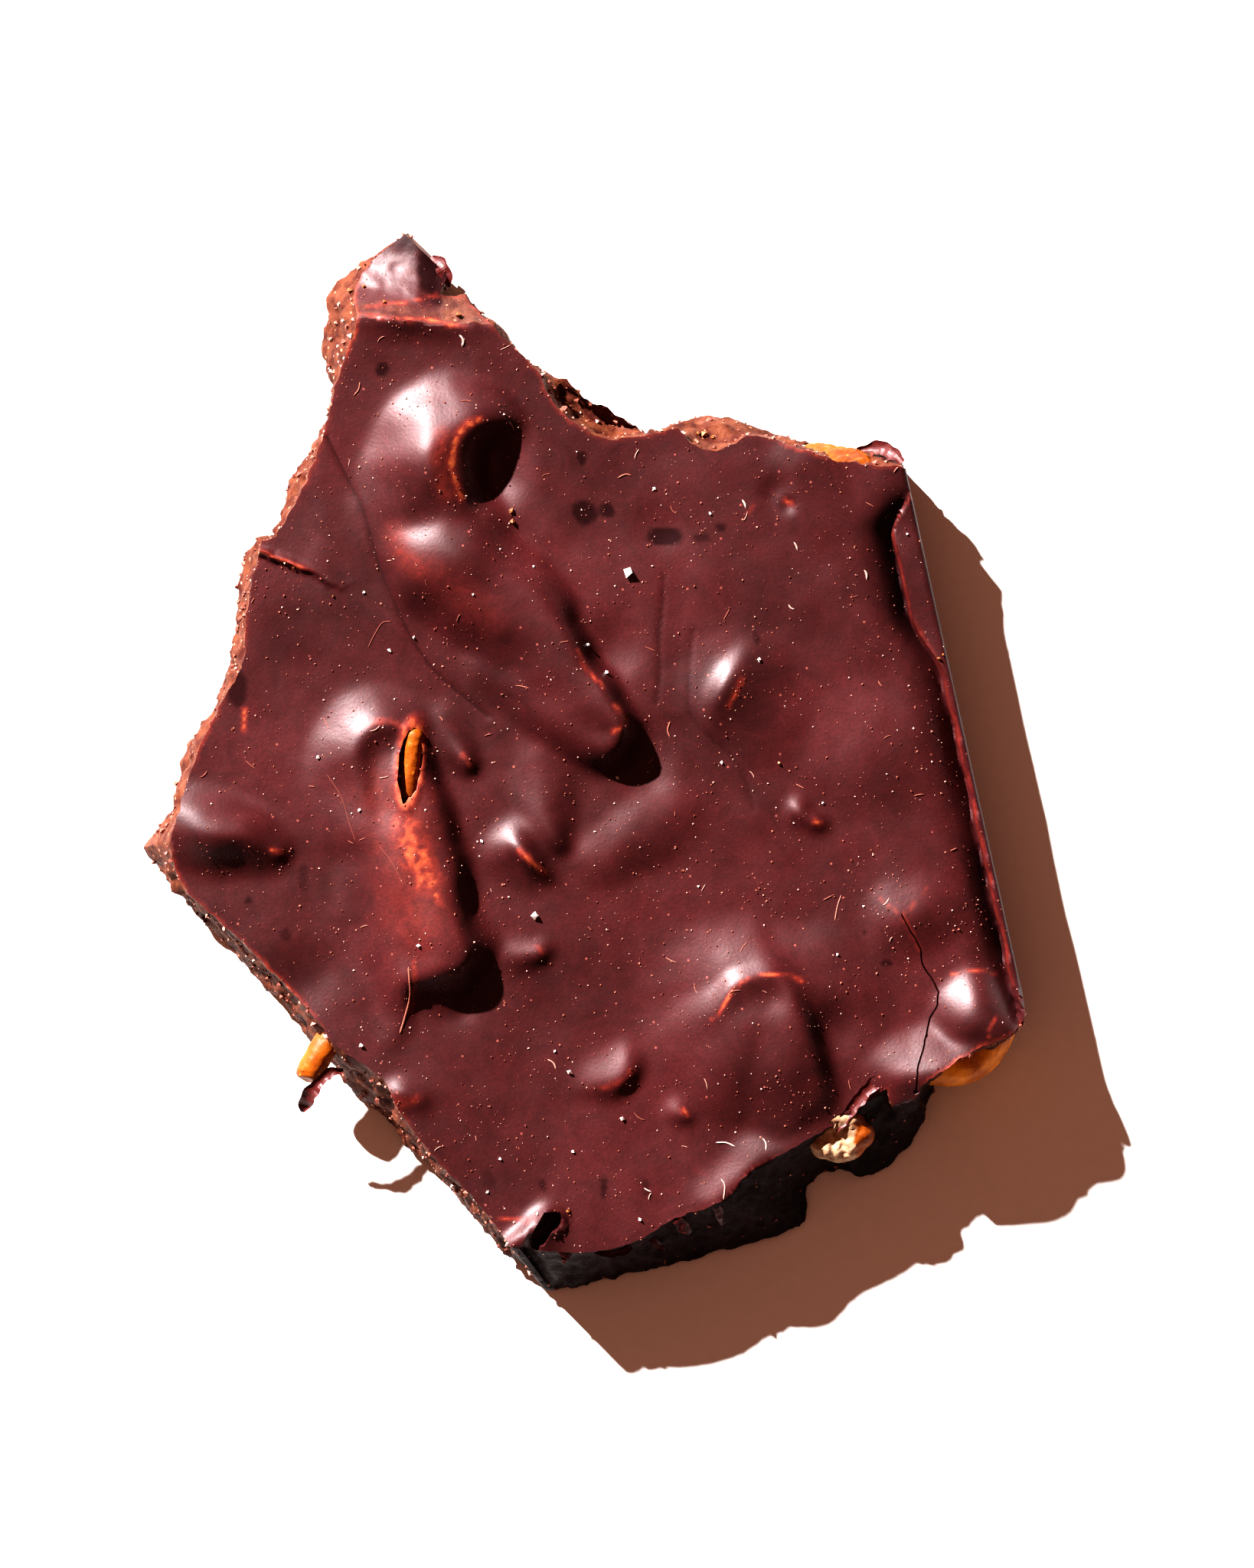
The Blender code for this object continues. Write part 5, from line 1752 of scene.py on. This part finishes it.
def moulded_chocolate():
    """The smooth side and foot that lay against the mould."""
    made, tree, shader, place = new_material("moulded_chocolate")
    tone = grain_range(tree, place, 6.0, 4.0, 0.3, 0.7)
    colour = mix_colour(tree, tone, SKIN_DARK, SKIN_LIGHT)
    scuffs = value_range(tree, grain(tree, place, 0.9, 5.0, 1.0), 0.62, 0.75)
    height = add_node(tree, "ShaderNodeSeparateXYZ", {"Vector": place}).outputs["Z"]
    fill_inputs(tree, shader, {
        "Base Color": mix_colour(tree, scuffs, colour, BROKEN_DARK),
        "Roughness": grain_range(tree, place, 1.5, 4.0, 0.3, 0.7, 0.28, 0.42),
        "Specular IOR Level": value_range(
            tree, height, *FOOT_SHINE_HEIGHTS, FOOT_SHINE, SIDE_SHINE
        ),
        "Normal": bump(tree, grain(tree, place, 0.5, 3.0), 0.01),
    })
    return made


def baked_crust():
    """Golden brown crust, with painted light in shade, and pale dry crumb where the strand is
    broken.
    """
    made, tree, shader, place = new_material("baked_crust")
    bake = grain_range(tree, place, 2.0, 4.0, 0.35, 0.65)
    colour = mix_colour(tree, bake, CRUST_DARK, CRUST_LIGHT)
    # Painted light: a strand that lies in shade gets a much brighter crust
    pale = mix_colour(tree, bake, PAINTED_LIGHT_CRUST_DARK, PAINTED_LIGHT_CRUST_BRIGHT)
    colour = mix_colour(tree, attribute(tree, "pale"), colour, pale)
    blisters = specks(tree, place, 0.8, 0.16, 0.4)
    colour = mix_colour(tree, blisters, colour, BLISTER_COLOUR)
    pores = grain_range(tree, place, 0.5, 4.0, 0.35, 0.6)
    crumb_colour = mix_colour(tree, pores, PRETZEL_CRUMB_DARK, PRETZEL_CRUMB_LIGHT)
    crumb = attribute(tree, "crumb")
    crumb_rough = math_value(tree, "MULTIPLY", crumb, 0.85)
    fill_inputs(tree, shader, {
        "Base Color": mix_colour(tree, crumb, colour, crumb_colour),
        "Roughness": math_value(tree, "MAXIMUM", 0.5, crumb_rough),
        "Specular IOR Level": 0.2,
        "Normal": bump(tree, grain(tree, place, 0.45, 5.0), 0.07),
    })
    return made


def loose_chocolate():
    """Dust, crumbs and slivers of chocolate, from dark red to nearly white by their tone."""
    made, tree, shader, place = new_material("loose_chocolate")
    tone = attribute(tree, "tone")
    low = value_range(tree, tone, 0.0, 0.5)
    high = value_range(tree, tone, 0.5, 1.0)
    colour = mix_colour(tree, low, DUST_DARK, DUST_MIDDLE)
    colour = mix_colour(tree, high, colour, DUST_PALE)
    shadow = grain_range(tree, place, 0.15, 3.0, 0.3, 0.7, 0.0, 0.4)
    fill_inputs(tree, shader, {
        "Base Color": mix_colour(tree, shadow, colour, BROKEN_DARK),
        "Roughness": grain_range(tree, place, 0.3, 2.0, 0.3, 0.7, 0.5, 0.8),
        "Specular IOR Level": 0.2,
    })
    return made


def salt_finish():
    """Cloudy white salt."""
    made, tree, shader, place = new_material("salt")
    cloud = grain_range(tree, place, 0.2, 3.0, 0.3, 0.7)
    fill_inputs(tree, shader, {
        "Base Color": mix_colour(tree, cloud, SALT_DARK, SALT_LIGHT),
        "Roughness": value_range(tree, cloud, 0.0, 1.0, 0.3, 0.55),
        "Subsurface Weight": 0.2,
        "Subsurface Radius": SALT_GLOW_DEPTHS,
    })
    return made


def make_slab():
    """The chocolate with its pockets cut, as one finished piece."""
    finishes = (chocolate_skin(), broken_chocolate(), moulded_chocolate())
    slab = link_object("chocolate_slab", slab_mesh(), finishes)
    cutters = [link_object("chip_cutter", chip_mesh(), finishes)]
    for node, strand in STRANDS.items():
        name = node + "_cutter"
        cutters.append(link_object(name, strand_mesh(name, strand), finishes))
    for cutter in cutters:
        cutter.data.polygons.foreach_set("material_index", [BROKEN] * len(cutter.data.polygons))
        pocket = slab.modifiers.new(cutter.name, "BOOLEAN")
        pocket.operation = "DIFFERENCE"
        pocket.solver = "MANIFOLD"
        pocket.material_mode = "INDEX"
        pocket.object = cutter
    apply_modifiers(slab)
    for cutter in cutters:
        bpy.data.objects.remove(cutter)
    mesh = slab.data
    points = mesh_rows(mesh, "co")
    places = points[:, 0:2].T
    set_attribute(mesh, "torn", torn_share(*places))
    samples = outline_samples(CELL)
    broken_rim = samples[samples[:, ROUGH] > BROKEN_ROUGHNESS, RIM]
    # The thin coat's orange with painted glow, marks with painted shade, and painted shade on the
    # front break
    set_attribute(mesh, "thin", thin_coat_and_painted_glow(*places, broken_rim))
    set_attribute(mesh, "mark_and_shade", marks_and_painted_shade(*places))
    set_attribute(mesh, "front", front_painted_shade(points, mesh_rows(mesh, "normal")))
    surface = Surface(mesh)
    to_metres(mesh)
    mesh.shade_smooth()
    mesh.set_sharp_from_angle(angle=math.radians(SHARP_ANGLE))
    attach(slab, "root")
    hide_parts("slab")
    return surface


def make_pretzel(node, strand, finish):
    """One pretzel piece with fine bumps and, where broken, an open crumb face."""
    name = node + "_baked"
    piece = link_object(name, strand_mesh(name, strand, strand.lumps), [finish])
    fine = piece.modifiers.new("fine", "REMESH")
    fine.mode = "VOXEL"
    fine.voxel_size = STRAND_VOXEL
    apply_modifiers(piece)
    mesh = piece.data
    points = mesh_rows(mesh, "co")
    normals = mesh_rows(mesh, "normal")
    crumb = np.zeros(len(points))
    if strand.break_point is not None:
        normal = np.array(Vector(strand.break_normal).normalized())
        depth = (np.array(strand.break_point) - points) @ normal
        wavers = layered_noise(points, CRUMB_WAVER_LENGTH, 2, strand.seed + 3.0)
        broken = short_of(CRUMB_DEPTH, depth + CRUMB_WAVER * wavers)
        edge = points[:, 0] + CRUST_WAVER * layered_noise(points, STRAND_GRAIN, 2, seed=55.0)
        crumb = strand.crumb * broken * short_of((CRUST_FROM, CRUST_FROM + CRUST_BLEND), edge)
        crags = layered_noise(points, STRAND_GRAIN, 3, strand.seed)
        points = points - normal * (broken * (CRUMB_SINK + CRUMB_CRAG * crags))[:, None]
    wrinkles = STRAND_WRINKLE * layered_noise(points, STRAND_GRAIN, 2, strand.seed)
    points = points + normals * (wrinkles * (1.0 - crumb))[:, None]
    set_points(mesh, points)
    set_attribute(mesh, "crumb", crumb)
    # Painted light: how much brighter a shaded strand's crust is painted
    set_attribute(mesh, "pale", np.full(len(points), strand.pale))
    to_metres(mesh)
    mesh.shade_smooth()
    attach(piece, "root")
    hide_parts(node)


class Surface:
    """The finished chocolate, in millimetres, for putting small things on it."""

    def __init__(self, mesh):
        points = mesh_rows(mesh, "co")
        faces = [tuple(face.vertices) for face in mesh.polygons]
        broken = [face for face in mesh.polygons if face.material_index == BROKEN]
        self.skin = mesh.materials[SKIN]
        self.corners = (points.min(axis=0)[0:2], points.max(axis=0)[0:2])
        self.tree = bvhtree.BVHTree.FromPolygons(points.tolist(), faces)
        self.broken_centres = np.array([face.center for face in broken])
        self.broken_normals = np.array([face.normal for face in broken])
        self.broken_areas = np.array([face.area for face in broken])

    def top(self, x, y):
        """The highest spot over a place on the floor, and the normal there."""
        above = Vector((x, y, RAY_START))
        return self.tree.ray_cast(above, Vector((0.0, 0.0, -1.0)))[0:2]


def pebble(place, radius, random):
    """A small uneven lump with eight sides."""
    turn = Euler(random.uniform(0.0, 2.0 * math.pi, 3)).to_matrix()
    corners = []
    for axis in range(3):
        for way in (-1.0, 1.0):
            arm = [0.0, 0.0, 0.0]
            arm[axis] = way * radius * random.uniform(*PEBBLE_ARM)
            corners.append(tuple(Vector(place) + turn @ Vector(arm)))
    faces = []
    for a in (0, 1):
        for b in (2, 3):
            for c in (4, 5):
                faces.append((a, b, c) if (a + b + c) % 2 else (a, c, b))
    return corners, faces


def tube(path, radius):
    """A thin thread along a path of points, pointed at both ends."""
    sides = THREAD_SIDES
    points = [tuple(path[0])]
    for i in range(1, len(path) - 1):
        ahead = Vector(path[i + 1] - path[i - 1]).normalized()
        points += [tuple(path[i] + spoke * radius) for spoke in spokes(ahead, sides)]
    points.append(tuple(path[-1]))
    last = len(points) - 1
    faces = []
    for k in range(sides):
        n = (k + 1) % sides
        faces.append((0, 1 + n, 1 + k))
        faces.append((last, last - sides + k, last - sides + n))
        for i in range(len(path) - 3):
            near = 1 + i * sides
            far = near + sides
            faces.append((near + k, near + n, far + n, far + k))
    return points, faces


def flake(rows, seed):
    """A thin ragged strip, hollow along its middle, from points with half widths."""
    middle = smooth_path(rows, THREAD_STEP)
    across = FLAKE_POINTS_ACROSS
    points = []
    for i, (x, y, z, half) in enumerate(middle):
        ahead = middle[min(i + 1, len(middle) - 1)] - middle[max(i - 1, 0)]
        run = np.array((ahead[0], ahead[1])) / (math.hypot(ahead[0], ahead[1]) + 1e-9)
        for k in range(across):
            off = 2.0 * k / (across - 1) - 1.0
            spot = (x * FLAKE_RAGGED_RATE, y * FLAKE_RAGGED_RATE, seed + off)
            ragged = 1.0 + FLAKE_RAGGED * noise.noise(Vector(spot))
            place = (x - run[1] * off * half * ragged, y + run[0] * off * half * ragged)
            spot = (x * FLAKE_LIFT_RATE, y * FLAKE_LIFT_RATE, seed + 9.0)
            lift = FLAKE_CURL * off * off + FLAKE_LIFT * noise.noise(Vector(spot))
            points.append((*place, z + lift))
            points.append((*place, z + lift - FLAKE_THICKNESS))
    faces = []
    row = 2 * across
    for i in range(len(middle) - 1):
        for k in range(across - 1):
            here = i * row + 2 * k
            faces.append((here, here + row, here + row + 2, here + 2))
            faces.append((here + 1, here + 3, here + row + 3, here + row + 1))
        for edge, turned in ((0, False), (2 * (across - 1), True)):
            here = i * row + edge
            side = (here, here + 1, here + row + 1, here + row)
            faces.append(side[::-1] if turned else side)
    for first, turned in ((0, False), ((len(middle) - 1) * row, True)):
        for k in range(across - 1):
            here = first + 2 * k
            end = (here, here + 2, here + 3, here + 1)
            faces.append(end[::-1] if turned else end)
    return points, faces


def join_bits(name, bits, finish, attribute_name):
    """Small closed shapes, each with a value for its finish, as one piece."""
    points = []
    faces = []
    values = []
    for (bit_points, bit_faces), value in bits:
        first = len(points)
        points += bit_points
        faces += [tuple(first + i for i in face) for face in bit_faces]
        values += [value] * len(bit_points)
    mesh = bpy.data.meshes.new(name)
    mesh.from_pydata(points, [], faces)
    set_attribute(mesh, attribute_name, values)
    to_metres(mesh)
    piece = link_object(name, mesh, [finish])
    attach(piece, "root")


def skewed(random, limits, skew):
    """A draw between two limits, nearer to the first one the higher the skew is."""
    return limits[0] + (limits[1] - limits[0]) * random.uniform() ** skew


def dust_bits(surface, random):
    """Fine chocolate dust that lies in drifts on the poured face."""
    places = random.uniform(*surface.corners, (DUST_TRIES, 2))
    drifts = layered_noise(flat_points(*places.T), DUST_DRIFT_LENGTH, 3, seed=61.0)
    draws = random.uniform(-DUST_SCATTER, DUST_SCATTER, DUST_TRIES)
    bits = []
    for (x, y), drift, draw in zip(places, drifts, draws):
        if drift + draw < 0.0:
            continue
        spot, normal = surface.top(x, y)
        if spot is None or normal.z < DUST_LEVEL:
            continue
        size = skewed(random, DUST_RADIUS, DUST_RADIUS_SKEW)
        tone = skewed(random, DUST_TONE, DUST_TONE_SKEW)
        bits.append((pebble(spot + normal * DUST_LIFT * size, size, random), tone))
    return bits


def wall_bits(surface, random):
    """Crumbs that stick to the broken sides, fewer on the break at the front."""
    centres = surface.broken_centres
    front = short_of(FRONT_CRUMBS_BELOW, centres[:, 1]) * past(FRONT_CRUMBS_RIGHT_OF, centres[:, 0])
    weights = surface.broken_areas * (1.0 - FRONT_CRUMB_LOSS * front)
    weights = weights * (centres[:, 2] > WALL_CRUMBS_ABOVE)
    chosen = random.choice(len(weights), WALL_CRUMBS, p=weights / weights.sum())
    bits = []
    for i in chosen:
        size = skewed(random, WALL_CRUMB_RADIUS, WALL_CRUMB_SKEW)
        place = centres[i] + surface.broken_normals[i] * WALL_CRUMB_LIFT * size
        crumb = pebble(place, size, random)
        bits.append((crumb, skewed(random, WALL_CRUMB_TONE, WALL_CRUMB_TONE_SKEW)))
    return bits


def sliver_bits(surface):
    """Slivers and fibres laid along their paths on the face."""
    bits = []
    for path, radius, tone in SLIVERS:
        spots = []
        for x, y in smooth_path(path, THREAD_STEP):
            spot, _ = surface.top(x, y)
            if spot is not None:
                spots.append(spot + Vector((0.0, 0.0, SLIVER_LIFT * radius)))
        bits.append((tube(spots, radius), tone))
    return bits


def fibre_bits(surface, random):
    """Short curved fibres that lie anywhere on the face."""
    bits = []
    while len(bits) < FIBRES:
        place = random.uniform(*surface.corners)
        bearing = random.uniform(0.0, 2.0 * math.pi)
        bend = random.uniform(-FIBRE_BEND, FIBRE_BEND)
        step = FIBRE_STEP * random.uniform(*FIBRE_LENGTH)
        radius = random.uniform(*FIBRE_RADIUS)
        spots = []
        for _ in range(FIBRE_STEPS):
            spot, normal = surface.top(*place)
            if spot is None or normal.z < FIBRE_LEVEL:
                break
            spots.append(spot + Vector((0.0, 0.0, radius)))
            place = place + step * np.array((math.cos(bearing), math.sin(bearing)))
            bearing += FIBRE_STEP * bend
        if len(spots) == FIBRE_STEPS:
            bits.append((tube(spots, radius), random.uniform(*FIBRE_TONE)))
    return bits


def grain_bits(surface, grains, random, value):
    """Grains set on the face."""
    bits = []
    for x, y, radius in grains:
        spot, normal = surface.top(x, y)
        bits.append((pebble(spot + normal * GRAIN_LIFT * radius, radius, random), value))
    return bits


def scatter(surface, crust):
    """All the small things that lie on the chocolate or hang on it."""
    random = np.random.default_rng(SCATTER_SEED)
    loose = loose_chocolate()
    dust = dust_bits(surface, random)
    join_bits("chocolate_dust", dust, loose, "tone")
    crumbs = wall_bits(surface, random)
    join_bits("chocolate_crumbs", crumbs, loose, "tone")
    slivers = sliver_bits(surface) + fibre_bits(surface, random)
    join_bits("chocolate_slivers", slivers, loose, "tone")
    # The flakes take the skin's finish with a little painted glow
    flakes = [(flake(rows, 5.0 * i), FLAKE_PAINTED_GLOW) for i, rows in enumerate(FLAKES.values())]
    join_bits("chocolate_flakes", flakes, surface.skin, "thin")
    salt = grain_bits(surface, SALT, random, 0.0)
    join_bits("salt_grains", salt, salt_finish(), "tone")
    golden = grain_bits(surface, CRUST_CRUMBS, random, CRUST_CRUMB_TONE)
    join_bits("crust_crumbs", golden, crust, "crumb")


def make_floor():
    """The plain pale floor."""
    made, tree, shader, place = new_material("floor")
    tone = grain_range(tree, place, 1.0, 2.0, 0.3, 0.7)
    colour = mix_colour(tree, tone, FLOOR_DARK, FLOOR_LIGHT)
    fill_inputs(tree, shader, {"Base Color": colour, "Roughness": 0.9})
    mesh = bpy.data.meshes.new("floor")
    ways = [(-1, -1), (1, -1), (1, 1), (-1, 1)]
    corners = [(x * FLOOR_HALF, y * FLOOR_HALF, 0.0) for x, y in ways]
    mesh.from_pydata(corners, [], [(0, 1, 2, 3)])
    link_object("floor", mesh, [made])


def add_lights():
    """A low key from the upper left and a dim warm fill from all round."""
    key = bpy.data.lights.new("key", "SUN")
    key.energy = KEY_STRENGTH
    key.angle = math.radians(KEY_ANGLE)
    lamp = link_object("key", key)
    lamp.rotation_euler = Vector(KEY_DIRECTION).to_track_quat("Z", "Y").to_euler()
    world = bpy.data.worlds.new("studio")
    bpy.context.scene.world = world
    world.use_nodes = True
    tree = world.node_tree
    direction = add_node(tree, "ShaderNodeTexCoord").outputs["Generated"]
    upward = add_node(tree, "ShaderNodeSeparateXYZ", {"Vector": direction}).outputs["Z"]
    height = value_range(tree, upward, 0.0, 1.0)
    sky = mix_colour(tree, height, HORIZON_COLOUR, ZENITH_COLOUR)
    seen = add_node(tree, "ShaderNodeLightPath").outputs["Is Camera Ray"]
    colour = mix_colour(tree, seen, sky, BACKDROP_COLOUR)
    fill_inputs(tree, tree.nodes["Background"], {"Color": colour})


def add_camera():
    """Straight above the piece, framed as in the photograph."""
    lens = bpy.data.cameras.new("camera")
    lens.sensor_width = SENSOR
    lens.lens = SENSOR * VIEW_HEIGHT / VIEW_LENGTH
    camera = link_object("camera", lens)
    camera.location = Vector((*VIEW_CENTRE, VIEW_HEIGHT)) * MM
    bpy.context.scene.camera = camera


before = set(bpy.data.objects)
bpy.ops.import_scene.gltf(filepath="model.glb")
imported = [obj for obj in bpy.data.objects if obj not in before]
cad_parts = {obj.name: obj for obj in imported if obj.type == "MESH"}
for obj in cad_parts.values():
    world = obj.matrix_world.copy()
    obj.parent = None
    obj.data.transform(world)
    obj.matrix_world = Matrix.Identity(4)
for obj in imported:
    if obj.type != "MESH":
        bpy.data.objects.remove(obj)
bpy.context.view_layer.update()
bpy.context.scene.view_settings.view_transform = "Standard"
bpy.context.scene.view_settings.look = "High Contrast"
chocolate = make_slab()
crust = baked_crust()
for node_name, node_strand in STRANDS.items():
    make_pretzel(node_name, node_strand, crust)
scatter(chocolate, crust)
make_floor()
add_lights()
add_camera()
